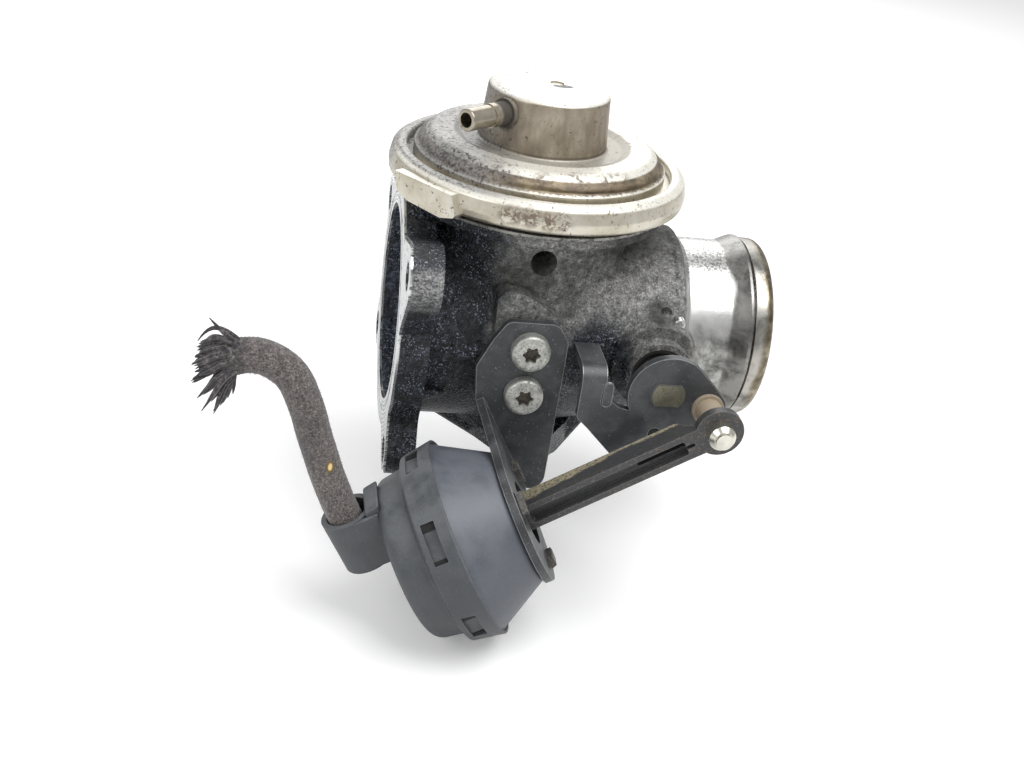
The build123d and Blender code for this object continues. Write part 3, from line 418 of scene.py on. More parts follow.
@dataclass(frozen=True)
class CastSkin:
    """Sand-cast aluminium: oily black by the manifold, pebbly grey beyond, turned spigot, with
    painted shade underneath and in corners and painted glints and highlights.
    """

    soot_to: float = 25.5 * MM
    soot_from: float = 32 * MM
    spigot_from: float = 91.2 * MM
    flare_from: float = 105.6 * MM
    lip_from: float = 112.9 * MM
    chamber_radius: float = 31.5 * MM
    throat_radius: float = 25.0 * MM

    def oil_and_painted_shade(self, bench: Bench, drift: object) -> bpy.types.NodeSocket:
        """Share of the skin under glossy black oil by the manifold, and of black painted shade on
        the underside and in the pocket behind the lever.
        """
        reach = bench.sum("ADD", bench.x, bench.both(drift, 16 * MM))
        near = bench.fade(reach, self.soot_from, self.soot_to)
        # Black on the underside of the duct: painted shade.
        painted_shade_underneath = bench.both(
            bench.fade(bench.sum("ADD", bench.z, bench.both(drift, 12 * MM)), -5 * MM, -15 * MM),
            bench.fade(bench.x, 92 * MM, 84 * MM),
        )
        # Black in the pocket behind the lever: painted shade.
        painted_shade_behind_lever = bench.fade(
            bench.sum("ADD", bench.away((62, -38, -1), (1, 0.35, 0.75)), bench.both(drift, 8 * MM)),
            14 * MM, 8 * MM,
        )
        return bench.either(near, painted_shade_underneath, painted_shade_behind_lever)

    def grime_and_shade(self, bench: Bench, drift: object) -> bpy.types.NodeSocket:
        """Share of dry dark soil round the vent and on the pad, and of painted shade under the can,
        in the crease round it, round the small foundry pit and at the foot of the shaft boss.
        """
        # Painted shade under the can.
        painted_shade_under_can = bench.both(
            bench.fade(bench.sum("ADD", bench.z, bench.both(drift, 16 * MM)), 21 * MM, 33 * MM),
            bench.fade(bench.x, 54 * MM, 64 * MM),
        )
        # Painted shade in the crease round the can's foot.
        crease = bench.both(
            bench.band(bench.radius(Axis.STEM, CAN_AXIS), 32.4 * MM, 0.6 * MM, 2.2 * MM),
            bench.fade(bench.z, 36 * MM, 30 * MM), bench.fade(drift, -0.12, 0.1), 0.8,
        )
        # Painted shade round the small pit.
        painted_shade_round_pit = bench.fade(bench.away((81.0, -31.2, 16.4), (0.8, 0.5, 1)), 5.0 * MM, 2.4 * MM)
        round_vent = bench.both(
            bench.fade(bench.away((41.5, -31.5, 24.5), (1, 0.4, 1.2)), 9 * MM, 3 * MM),
            bench.fade(drift, -0.1, 0.08), 0.7,
        )
        # Painted shade at the foot of the shaft boss, behind the lever.
        painted_shade_at_boss_foot = bench.both(
            bench.band(bench.radius(Axis.SHAFT, (78.8, 0, 0)), 15.5 * MM, 1.5 * MM, 3 * MM),
            bench.fade(bench.y, -30 * MM, -36 * MM), 0.55,
        )
        pad = bench.both(
            bench.fade(bench.away((38, -40, 14), (0.9, 0.4, 1)), 11 * MM, 7 * MM),
            bench.fade(drift, -0.16, 0.04), 0.6,
        )
        return bench.either(painted_shade_under_can, crease, painted_shade_round_pit, round_vent, painted_shade_at_boss_foot, pad)

    def material(self) -> bpy.types.Material:
        """Build the casting's material."""
        bench = Bench("cast_skin")
        drift = bench.sum("SUBTRACT", bench.speckle(11 * MM, 5, 0.6), 0.5)
        oil_and_shade = self.oil_and_painted_shade(bench, drift)
        dirt_and_shade = self.grime_and_shade(bench, drift)
        grain = bench.speckle(0.6 * MM, 3, 0.6)
        coarse = bench.speckle(2.2 * MM, 6, 0.65)
        mottle = bench.sum("ADD", bench.both(grain, 0.5), bench.both(coarse, 0.5))
        bare = bench.ramp(mottle, [
            (0.36, paint(70, 69, 67)), (0.45, paint(106, 106, 104)), (0.54, paint(138, 138, 136)),
            (0.62, paint(176, 176, 173)), (0.70, paint(214, 214, 210))])
        pores = bench.fade(bench.pebbles(1.9 * MM), 0.16, 0.09)
        bare = bench.lay(bench.both(pores, 0.75), bare, paint(52, 51, 49))
        flecks = bench.fade(bench.speckle(0.5 * MM, 2, 0.5), 0.66, 0.71)
        bare = bench.lay(bench.both(flecks, 0.7), bare, paint(220, 220, 218))
        # Dark colour of the dry soil and of the painted shade under the can, in the crease, round
        # the pit and at the boss.
        bare = bench.lay(bench.both(dirt_and_shade, 0.86), bare, bench.ramp(coarse, [
            (0.38, paint(30, 30, 30)), (0.6, paint(70, 70, 68))]))
        # Painted glints: small bluish highlights laid into the colour of the oily black skin and of
        # the tar in the bore.
        painted_glint = bench.both(
            bench.fade(bench.speckle(0.55 * MM, 2, 0.5), 0.585, 0.65),
            bench.fade(bench.speckle(6 * MM, 4, 0.6), 0.40, 0.56))
        black = bench.ramp(coarse, [
            (0.34, paint(12, 13, 16)), (0.52, paint(34, 36, 41)), (0.7, paint(66, 70, 78))])
        # Painted glints on the oily black.
        black = bench.lay(bench.both(painted_glint, 0.85), black, paint(142, 152, 170))
        streak = bench.speckle(2.4 * MM, 6, 0.7, 0, bench.shifted((0, 0, 0), (0.5, 1, 1)))
        # Band on the flange's side: partly rubbed bright metal, partly a painted highlight where
        # the light falls on its upper part.
        rubbed = bench.both(
            bench.fade(bench.x, 9.9 * MM, 9.3 * MM),
            bench.band(bench.z, 27.5 * MM, 4.5 * MM, 4 * MM),
            bench.fade(bench.y, -33 * MM, -36 * MM), bench.fade(streak, 0.30, 0.52))
        colour = bench.lay(oil_and_shade, bare, black)
        # Bright grey of the flange band: rubbed metal and painted highlight.
        colour = bench.lay(rubbed, colour, bench.ramp(grain, [
            (0.4, paint(104, 104, 104)), (0.6, paint(176, 176, 176))]))
        tube = bench.radius(Axis.DUCT)
        narrowing = bench.fade(bench.x, 48 * MM, 60 * MM)
        bore = bench.between(narrowing, self.chamber_radius, self.throat_radius)
        depth = bench.sum("SUBTRACT", tube, bore)
        inside = bench.fade(depth, 0.3 * MM, 0.0)
        wave = bench.speckle(5 * MM, 6, 0.62, 0.6)
        tar = bench.ramp(wave, [
            (0.36, paint(10, 12, 16)), (0.5, paint(36, 42, 52)), (0.66, paint(92, 102, 120))])
        # Painted glints on the tar in the bore.
        tar = bench.lay(bench.both(painted_glint, 0.9), tar, paint(150, 164, 188))
        colour = bench.lay(inside, colour, tar)
        outside = bench.fade(depth, 0.0, 0.3 * MM)
        turned = bench.both(
            outside, bench.fade(bench.x, self.spigot_from - 1.6 * MM, self.spigot_from))
        cloud = bench.speckle(8 * MM, 6, 0.62, 0.5)
        # Upper part of the turned spigot painted near white: painted highlight from the overhead
        # light; the lower part keeps a mottled grey.
        low = bench.fade(bench.sum("ADD", bench.z, bench.both(drift, 20 * MM)), 14 * MM, 4 * MM)
        high = bench.fade(bench.z, 21 * MM, 25 * MM)
        bright = bench.lay(low, paint(226, 226, 224), bench.ramp(cloud, [
            (0.34, paint(74, 74, 72)), (0.47, paint(134, 134, 131)), (0.62, paint(198, 198, 194))]))
        dots = bench.fade(bench.speckle(0.8 * MM, 3, 0.6), 0.49, 0.56)
        bright = bench.lay(bench.both(high, dots, 0.75), bright, paint(126, 126, 122))
        # Dark band on the flare toward the lip: painted shade on the face that turns from the
        # light.
        flare = bench.both(bench.fade(bench.sum("ADD", bench.x, bench.both(drift, 3 * MM)),
                                      self.flare_from - 0.5 * MM, self.flare_from + 0.6 * MM),
                           bench.fade(bench.x, self.lip_from, self.lip_from - 0.3 * MM))
        bright = bench.lay(bench.both(flare, 0.85), bright, bench.ramp(cloud, [
            (0.4, paint(84, 83, 82)), (0.6, paint(140, 138, 134))]))
        lip = bench.fade(bench.x, self.lip_from - 0.1 * MM, self.lip_from + 0.5 * MM)
        bright = bench.lay(bench.both(lip, 0.85), bright, bench.ramp(cloud, [
            (0.36, paint(112, 110, 104)), (0.64, paint(182, 178, 170))]))
        edge = bench.fade(
            bench.sum("ADD", bench.x, bench.both(drift, 4 * MM)), 115.4 * MM, 117.4 * MM)
        varnish = bench.ramp(bench.speckle(4 * MM, 6, 0.65, 0.3), [
            (0.36, paint(92, 82, 62)), (0.5, paint(130, 120, 100)), (0.66, paint(172, 164, 146))])
        bright = bench.lay(bench.both(edge, 0.9), bright, varnish)
        colour = bench.lay(turned, colour, bright)
        rough = bench.between(oil_and_shade, bench.between(dirt_and_shade, 0.52, 0.7), bench.between(grain, 0.10, 0.30))
        rough = bench.between(inside, rough, bench.between(wave, 0.12, 0.4))
        rough = bench.between(turned, rough, bench.between(cloud, 0.16, 0.42))
        rough = bench.between(rubbed, rough, 0.32)
        metal = bench.between(oil_and_shade, bench.between(dirt_and_shade, 0.5, 0.15), 0.0)
        metal = bench.either(bench.between(turned, metal, 1.0), rubbed)
        skin = bench.relief(grain, 0.30 * MM, bench.between(turned, 0.9, 0.04))
        skin = bench.relief(coarse, 0.8 * MM, bench.between(turned, 0.7, 0.05), skin)
        ridge = bench.band(bench.speckle(3.4 * MM, 2, 0.5, 1.6), 0.5, 0.012, 0.03)
        squiggle = bench.both(oil_and_shade, bench.band(bench.x, 19 * MM, 8 * MM, 3 * MM), 0.75)
        skin = bench.relief(ridge, 0.45 * MM, squiggle, skin)
        skin = bench.relief(bench.speckle(1.4 * MM, 4, 0.6), 0.9 * MM, bench.both(oil_and_shade, 0.8), skin)
        skin = bench.relief(wave, 1.6 * MM, bench.both(inside, 0.9), skin)
        return bench.close(colour, rough, metal, skin)


@dataclass(frozen=True)
class BeadGasket:
    """Layered steel gasket whose pressed beads run round the bore."""

    bore: float = 33.4 * MM
    pitch: float = 1.35 * MM

    def material(self) -> bpy.types.Material:
        """Build the gasket steel."""
        bench = Bench("bead_gasket")
        tube = bench.radius(Axis.DUCT)
        wander = bench.both(bench.sum("SUBTRACT", bench.speckle(9 * MM, 3), 0.5), 1.2 * MM)
        rings = bench.sum("FRACT", bench.both(
            bench.sum("SUBTRACT", bench.sum("ADD", tube, wander), self.bore), 1 / self.pitch))
        line = bench.band(rings, 0.5, 0.09, 0.1)
        oil = bench.fade(bench.speckle(4 * MM, 7, 0.7, 0.5), 0.55, 0.63)
        colour = bench.lay(bench.both(line, 0.8), paint(222, 223, 224), paint(58, 60, 62))
        colour = bench.lay(bench.both(oil, 0.6), colour, paint(48, 50, 54))
        rough, metal = bench.between(oil, 0.26, 0.45), bench.between(oil, 0.9, 0.3)
        return bench.close(colour, rough, metal, bench.relief(line, 0.12 * MM, 0.6))


@dataclass(frozen=True)
class CanSteel:
    """Plated drawn steel, baked brown on its walls, with flaked rust and soot, painted lighter
    where it faces up, and with painted shade in the well round the cup.
    """

    name: str
    centre: Point = CAN_AXIS
    rust_spots: tuple[Point, ...] = (
        (27.4, -43.4, 49.2), (33.0, -45.2, 49.4), (38.4, -45.9, 49.0), (41.2, -46.0, 49.4))
    flakes: tuple[Point, ...] = (
        (25.0, -34.6, 57.6), (36.9, -38.3, 57.2), (47.1, -38.0, 58.0), (56.9, -35.4, 58.4),
        (60.6, -33.0, 57.6), (16.3, -29.1, 56.6))

    def spots(self, bench: Bench, points: Sequence[Point], reach: float) -> bpy.types.NodeSocket:
        """Share that is 1 near any of the given points."""
        return bench.either(*(
            bench.fade(bench.away(point, (1, 0.6, 1.5)), reach, reach * 0.25) for point in points))

    def material(self) -> bpy.types.Material:
        """Build the can's steel."""
        bench = Bench(self.name)
        wash = bench.speckle(10 * MM, 5, 0.55, 0.3)
        fine = bench.speckle(0.9 * MM, 5, 0.65)
        base = bench.ramp(wash, [
            (0.30, paint(186, 178, 158)), (0.5, paint(212, 206, 190)), (0.7, paint(226, 222, 210))])
        around = bench.radius(Axis.STEM, self.centre)
        facing_up = bench.fade(bench.upward(), 0.25, 0.75)
        side = bench.sum("SUBTRACT", 1.0, facing_up)
        # Faces that look up are painted lighter: painted light from above.
        base = bench.lay(bench.both(facing_up, 0.7), base, paint(238, 236, 228))
        ragged = bench.sum("ADD", bench.z, bench.both(bench.sum("SUBTRACT", fine, 0.5), 1.6 * MM))
        wall = bench.both(bench.band(around, 38.4 * MM, 2.2 * MM, 0.5 * MM),
                          bench.band(ragged, 56.4 * MM, 1.7 * MM, 0.6 * MM))
        upright = bench.speckle(3 * MM, 6, 0.6, 0, bench.shifted((0, 0, 0), (0.4, 0.4, 1)))
        baked = bench.ramp(upright, [
            (0.36, paint(74, 62, 44)), (0.55, paint(118, 103, 78)), (0.7, paint(160, 146, 118))])
        colour = bench.lay(bench.both(wall, 0.95), base, baked)
        cup = bench.both(
            bench.fade(around, 21.4 * MM, 20.6 * MM), bench.fade(bench.z, 57 * MM, 58 * MM), side)
        drips = bench.speckle(6 * MM, 5, 0.6, 0, bench.shifted((0, 0, 0), (1, 1, 0.5)))
        colour = bench.lay(bench.both(cup, 0.86), colour, bench.ramp(drips, [
            (0.34, paint(124, 112, 95)), (0.55, paint(164, 153, 136)),
            (0.72, paint(200, 192, 176))]))
        # Darker ring round the cup's foot: painted shade in the well.
        painted_well_shade = bench.both(bench.band(around, 23.0 * MM, 4.2 * MM, 1.2 * MM),
                          bench.band(bench.z, 57.6 * MM, 1.4 * MM, 0.5 * MM))
        colour = bench.lay(bench.both(painted_well_shade, 0.62), colour, paint(104, 96, 84))
        freckle = bench.speckle(1.9 * MM, 8, 0.72, 0.6)
        patch = bench.speckle(12 * MM, 4, 0.55)
        rust = bench.either(
            bench.both(bench.fade(freckle, 0.585, 0.62), bench.fade(patch, 0.45, 0.6)),
            bench.both(self.spots(bench, self.rust_spots, 6 * MM), bench.fade(freckle, 0.46, 0.50)),
            bench.both(self.spots(bench, self.flakes, 5.5 * MM), bench.fade(freckle, 0.47, 0.52),
                       bench.fade(bench.z, 54.5 * MM, 56 * MM)))
        colour = bench.lay(bench.both(rust, 0.88), colour, bench.ramp(fine, [
            (0.36, paint(66, 52, 42)), (0.62, paint(118, 98, 78))]))
        away_side = bench.either(
            bench.fade(bench.x, 35 * MM, 15 * MM), bench.fade(bench.y, 10 * MM, 40 * MM))
        above_crimp = bench.either(
            bench.fade(bench.z, 52.4 * MM, 53.2 * MM), bench.fade(bench.y, -14 * MM, 2 * MM))
        back = bench.both(away_side, above_crimp)
        grit = bench.sum("ADD", bench.speckle(1.3 * MM, 6, 0.68, 0.3), bench.both(back, 0.07))
        sooty = bench.fade(grit, 0.60, 0.67)
        haze = bench.both(back, 0.74)
        colour = bench.lay(haze, colour, bench.ramp(fine, [
            (0.4, paint(82, 81, 83)), (0.6, paint(142, 141, 142))]))
        pepper = bench.both(bench.fade(bench.speckle(0.7 * MM, 3, 0.6), 0.60, 0.66), facing_up, 0.5)
        nipple_foot = bench.fade(bench.away((26.0, -13.6, 69.3), (1, 1, 0.9)), 5.6 * MM, 4.2 * MM)
        soot = bench.either(sooty, pepper, bench.both(nipple_foot, bench.fade(fine, 0.38, 0.5)))
        colour = bench.lay(bench.both(soot, 0.85), colour, paint(50, 48, 47))
        off_mark = bench.away((46.0, 2.0, 74.8), (0.55, 1, 1))
        mark = bench.both(bench.fade(off_mark, 2.0 * MM, 1.5 * MM), bench.fade(fine, 0.36, 0.42))
        colour = bench.lay(mark, colour, paint(62, 64, 70))
        worn = bench.either(rust, soot, mark)
        rough = bench.between(worn, bench.between(wash, 0.42, 0.28), 0.7)
        rough = bench.between(bench.either(wall, cup, facing_up), rough, 0.44)
        metal = bench.between(bench.either(worn, haze), bench.between(facing_up, 0.92, 0.35), 0.12)
        normal = bench.relief(fine, 0.09 * MM, 0.4)
        normal = bench.relief(freckle, 0.16 * MM, bench.both(worn, 0.5), normal)
        return bench.close(colour, rough, metal, normal)


@dataclass(frozen=True)
class PaintedSheet:
    """Thin black coat on sheet steel, dusty, rubbed bright along its cut edges."""

    name: str
    shade: Colour = paint(52, 54, 57)
    edge: Colour = paint(190, 192, 192)
    shine: float = 0.36
    rub: float = 0.5 * MM

    def material(self) -> bpy.types.Material:
        """Build the painted sheet."""
        bench = Bench(self.name)
        film = bench.speckle(8 * MM, 5, 0.6)
        lint = bench.fade(bench.speckle(0.6 * MM, 2, 0.5), 0.66, 0.72)
        worn = bench.both(bench.fade(film, 0.42, 0.7), 0.55)
        colour = bench.lay(worn, self.shade, paint(92, 93, 94))
        colour = bench.lay(bench.both(lint, 0.55), colour, paint(168, 166, 160))
        rubbed = bench.rubbed(self.rub, film)
        colour = bench.lay(bench.both(rubbed, 0.85), colour, self.edge)
        rough = bench.between(bench.fade(film, 0.4, 0.7), self.shine, self.shine + 0.14)
        normal = bench.relief(bench.speckle(0.5 * MM, 3), 0.04 * MM, 0.35)
        return bench.close(colour, rough, bench.both(rubbed, 0.7), normal)


@dataclass(frozen=True)
class PlatedMetal:
    """Plated or turned metal with small stains."""

    name: str
    clean: Colour
    stain: Colour
    shine: float = 0.3
    stain_from: float = 0.52
    size: float = 1.6 * MM
    dirt_at: Point | None = None
    dirt_reach: float = 4 * MM
    dirt_and_shade: Colour = paint(46, 42, 38)

    def material(self) -> bpy.types.Material:
        """Build the plated metal."""
        bench = Bench(self.name)
        blotch = bench.speckle(self.size, 7, 0.7, 0.3)
        spots = bench.fade(blotch, self.stain_from, self.stain_from + 0.1)
        tone = bench.speckle(6 * MM, 3)
        dulled = tuple(0.72 * channel for channel in self.clean[:3]) + (1.0,)
        clean = bench.lay(bench.fade(tone, 0.35, 0.7), self.clean, dulled)
        colour = bench.lay(bench.both(spots, 0.8), clean, self.stain)
        rough = bench.between(spots, self.shine, self.shine + 0.28)
        metal = bench.between(spots, 0.95, 0.4)
        if self.dirt_at is not None:
            off = bench.away(self.dirt_at)
            caked = bench.fade(off, self.dirt_reach, self.dirt_reach - 1.2 * MM)
            colour = bench.lay(bench.both(caked, 0.9), colour, self.dirt_and_shade)
            rough = bench.between(caked, rough, 0.75)
            metal = bench.between(caked, metal, 0.1)
        normal = bench.relief(bench.speckle(0.6 * MM, 5, 0.6), 0.05 * MM, 0.35)
        return bench.close(colour, rough, metal, normal)


@dataclass(frozen=True)
class MouldedPlastic:
    """Glass-filled plastic, satin, with dust lying on what faces up."""

    name: str
    shade: Colour
    dust: Colour
    shine: float = 0.42
    dust_share: float = 0.5
    bloom: float = 0.4
    grimy_from: float = 0.0

    def material(self) -> bpy.types.Material:
        """Build the moulded plastic."""
        bench = Bench(self.name)
        cloud = bench.speckle(9 * MM, 6, 0.62)
        fine = bench.speckle(0.7 * MM, 4, 0.6)
        share = bench.both(
            bench.fade(bench.upward(), 0.1, 0.8), bench.fade(cloud, 0.28, 0.6), self.dust_share)
        bloomed = bench.both(bench.fade(cloud, 0.35, 0.72), self.bloom)
        colour = bench.lay(bloomed, self.shade, self.dust)
        colour = bench.lay(share, colour, self.dust)
        crumbs = bench.fade(bench.speckle(0.42 * MM, 2, 0.5), 0.665, 0.71)
        colour = bench.lay(bench.both(crumbs, 0.25), colour, paint(160, 160, 156))
        if self.grimy_from > 0:
            station = bench.sum("ADD", bench.both(bench.x, math.cos(ACTUATOR_LEAN)),
                                bench.both(bench.z, math.sin(ACTUATOR_LEAN)))
            caked = bench.fade(station, self.grimy_from, self.grimy_from + 0.4 * MM)
            colour = bench.lay(bench.both(caked, 0.85), colour, bench.ramp(fine, [
                (0.4, paint(40, 38, 35)), (0.62, paint(98, 92, 80))]))
        rubbed = bench.rubbed(0.3 * MM, fine)
        colour = bench.lay(bench.both(rubbed, 0.3), colour, paint(150, 152, 154))
        satin = bench.between(cloud, self.shine - 0.06, self.shine + 0.1)
        rough = bench.between(share, satin, 0.75)
        normal = bench.relief(fine, 0.035 * MM, 0.4)
        return bench.close(colour, rough, 0.0, normal)


@dataclass(frozen=True)
class DustyRod:
    """Black rod plastic with road dust baked along the far edge of its top."""

    name: str
    shade: Colour = paint(58, 59, 61)
    dust: Colour = paint(148, 140, 116)

    def material(self) -> bpy.types.Material:
        """Build the rod's plastic."""
        bench = Bench(self.name)
        cloud = bench.speckle(5 * MM, 6, 0.62)
        fine = bench.speckle(0.6 * MM, 4, 0.6)
        widen = bench.either(0.0, bench.sum("SUBTRACT", 68 * MM, bench.x))
        spread = bench.sum("ADD", bench.y, bench.sum("ADD", bench.both(widen, 0.13),
                           bench.both(bench.sum("SUBTRACT", cloud, 0.5), 3.5 * MM)))
        edge = bench.fade(spread, -62.8 * MM, -61.8 * MM)
        dusty = bench.both(bench.fade(bench.upward(), 0.2, 0.7), edge)
        scuffed = bench.both(bench.fade(fine, 0.45, 0.7), 0.4)
        colour = bench.lay(scuffed, self.shade, paint(96, 94, 90))
        colour = bench.lay(bench.both(dusty, bench.fade(fine, 0.34, 0.56)), colour, self.dust)
        grit = bench.both(bench.fade(bench.y, -67.4 * MM, -68.4 * MM),
                          bench.fade(bench.speckle(0.8 * MM, 3, 0.6), 0.56, 0.64))
        colour = bench.lay(bench.both(grit, 0.5), colour, paint(122, 104, 88))
        rubbed = bench.rubbed(0.4 * MM, fine)
        colour = bench.lay(bench.both(rubbed, 0.55), colour, paint(150, 150, 148))
        rough = bench.between(dusty, bench.between(fine, 0.3, 0.5), 0.8)
        return bench.close(colour, rough, 0.0, bench.relief(fine, 0.06 * MM, 0.5))


@dataclass(frozen=True)
class DriveScrewZinc:
    """Blotched zinc of the two bracket screws, their drive recesses darkened by caked soil and
    painted shade.
    """

    name: str
    heads: tuple[Point, ...] = ((39.8, 0.0, 5.2), (39.7, 0.0, -9.6))
    recess: float = 3.4 * MM

    def material(self, front: float) -> bpy.types.Material:
        """Build the screw zinc.

        Args:
            front: How far forward the heads reach.

        Returns:
            The material.
        """
        bench = Bench(self.name)
        fine = bench.speckle(0.7 * MM, 5, 0.65)
        tone = bench.speckle(3 * MM, 4)
        clean = bench.lay(bench.fade(tone, 0.4, 0.65), paint(196, 196, 190), paint(160, 161, 156))
        spots = bench.fade(fine, 0.545, 0.60)
        colour = bench.lay(bench.both(spots, 0.75), clean, paint(98, 98, 94))
        # Drive recesses: caked soil and painted shade.
        inside = [bench.fade(bench.radius(Axis.SHAFT, head), self.recess, self.recess - 0.4 * MM)
                  for head in self.heads]
        dirt_and_shade = bench.both(
            bench.either(*inside), bench.fade(bench.y, front + 0.5 * MM, front + 1.1 * MM))
        colour = bench.lay(bench.both(dirt_and_shade, 0.9), colour, bench.ramp(fine, [
            (0.4, paint(42, 40, 36)), (0.6, paint(112, 103, 86))]))
        rough = bench.between(bench.either(dirt_and_shade, spots), 0.42, 0.72)
        metal = bench.between(bench.either(dirt_and_shade, spots), 0.7, 0.1)
        return bench.close(colour, rough, metal, bench.relief(fine, 0.07 * MM, 0.5))


@dataclass(frozen=True)
class SoftRubber:
    """Matt black rubber with a dry bloom."""

    name: str
    deep: Colour = paint(24, 24, 24)
    bloomed: Colour = paint(58, 56, 54)

    def material(self) -> bpy.types.Material:
        """Build the rubber."""
        bench = Bench(self.name)
        bloom = bench.speckle(4 * MM, 6, 0.6)
        colour = bench.ramp(bloom, [(0.35, self.deep), (0.7, self.bloomed)])
        return bench.close(colour, 0.7, 0.0, bench.relief(bloom, 0.1 * MM, 0.4))


@dataclass(frozen=True)
class FeltedYarn:
    """Dull braided yarn, matted by heat, with a glued speck of old paint."""

    name: str
    dark: Colour = paint(52, 49, 50)
    mid: Colour = paint(97, 91, 89)
    pale: Colour = paint(144, 138, 134)
    speck: Point = (-18.4, -69.8, -21.2)

    def material(self) -> bpy.types.Material:
        """Build the yarn."""
        bench = Bench(self.name)
        fibre = bench.speckle(0.55 * MM, 4, 0.65, 0.6)
        tuft = bench.speckle(1.3 * MM, 5, 0.6)
        grime_and_shade = bench.speckle(10 * MM, 4, 0.6)
        mottle = bench.sum("ADD", bench.both(fibre, 0.72), bench.both(tuft, 0.28))
        colour = bench.ramp(mottle, [(0.38, self.dark), (0.5, self.mid), (0.64, self.pale)])
        soiled = bench.both(bench.fade(grime_and_shade, 0.5, 0.68), 0.45)
        colour = bench.lay(soiled, colour, paint(64, 62, 66))
        ends = bench.fade(bench.x, -40.5 * MM, -47 * MM)
        matted = bench.both(ends, bench.fade(tuft, 0.72, 0.42), 0.9)
        colour = bench.lay(matted, colour, paint(44, 42, 47))
        spot = bench.away(self.speck, (1.3, 0.5, 0.72))
        colour = bench.lay(bench.fade(spot, 1.7 * MM, 1.0 * MM), colour, paint(120, 92, 40))
        colour = bench.lay(bench.fade(spot, 1.0 * MM, 0.6 * MM), colour, paint(236, 210, 146))
        normal = bench.relief(fibre, 0.22 * MM, 0.8)
        normal = bench.relief(tuft, 0.3 * MM, 0.5, normal)
        return bench.close(colour, 0.92, 0.0, normal, sheen_weight=0.3, sheen_roughness=0.5)


# ------------------------------------------------------------------------------ helpers
def deselect() -> None:
    """Clear the selection so that an operator acts only on what follows."""
    if bpy.context.object and bpy.context.object.mode != "OBJECT":
        bpy.ops.object.mode_set(mode="OBJECT")
    bpy.ops.object.select_all(action="DESELECT")


def choose(piece: bpy.types.Object) -> None:
    """Make one piece the only selected and the active one."""
    deselect()
    piece.select_set(True)
    bpy.context.view_layer.objects.active = piece


def dress(piece: bpy.types.Object, material: bpy.types.Material) -> None:
    """Give a piece one material in every slot."""
    piece.data.materials.clear()
    piece.data.materials.append(material)


def dress_nodes(
    nodes: dict[str, bpy.types.Object], finishes: Sequence[tuple[Finish, tuple[str, ...]]]
) -> None:
    """Give nodes their finishes.

    Args:
        nodes: Nodes by name.
        finishes: Finishes, each with the names of the nodes that wear it.
    """
    for finish, names in finishes:
        material = finish.material()
        for name in names:
            dress(nodes[name], material)


def stand(name: str, data: bpy.types.ID) -> bpy.types.Object:
    """Object made of some data, linked to the scene."""
    piece = bpy.data.objects.new(name, data)
    bpy.context.scene.collection.objects.link(piece)
    return piece


def face_outwards(piece: bpy.types.Object, merge: bool = False) -> None:
    """Turn the faces of a piece outwards and shade it smooth.

    Args:
        piece: The piece.
        merge: Whether its doubled points are merged first.
    """
    choose(piece)
    bpy.ops.object.mode_set(mode="EDIT")
    bpy.ops.mesh.select_all(action="SELECT")
    if merge:
        bpy.ops.mesh.remove_doubles(threshold=MERGE)
    bpy.ops.mesh.normals_make_consistent(inside=False)
    bpy.ops.object.mode_set(mode="OBJECT")
    bpy.ops.object.shade_smooth()


def merged_copy(node: bpy.types.Object, name: str) -> bpy.types.Object:
    """Copy of a node with a mesh of its own, whose loose triangles are merged."""
    piece = stand(name, node.data.copy())
    choose(piece)
    bpy.ops.object.mode_set(mode="EDIT")
    bpy.ops.mesh.select_all(action="SELECT")
    bpy.ops.mesh.remove_doubles(threshold=MERGE)
    bpy.ops.object.mode_set(mode="OBJECT")
    return piece


def lay_curve(
    name: str, runs: Sequence[Sequence[tuple[Vector, float]]], thick: float, sides: int = 1,
    steps: int = 4,
) -> bpy.types.Object:
    """Curve object of smooth runs, each with its own thickness along it.

    Args:
        name: Name of the object.
        runs: Rows of points, each with its share of the thickness.
        thick: Radius in metres where the share is 1.
        sides: Roundness of the section.
        steps: Points laid between two given ones.

    Returns:
        The curve object.
    """
    curve = bpy.data.curves.new(name, "CURVE")
    curve.dimensions = "3D"
    for run in runs:
        line = curve.splines.new("NURBS")
        line.points.add(len(run) - 1)
        for point, (place, share) in zip(line.points, run):
            point.co = (*place, 1.0)
            point.radius = share
        line.order_u = 3
        line.use_endpoint_u = True
        line.resolution_u = steps
    curve.bevel_depth = thick
    curve.bevel_resolution = sides
    curve.use_fill_caps = True
    return stand(name, curve)


def mesh_of(piece: bpy.types.Object) -> bpy.types.Object:
    """Turn a curve object into a mesh with merged, outward-facing skin."""
    choose(piece)
    bpy.ops.object.convert(target="MESH")
    piece = bpy.context.object
    face_outwards(piece, merge=True)
    return piece


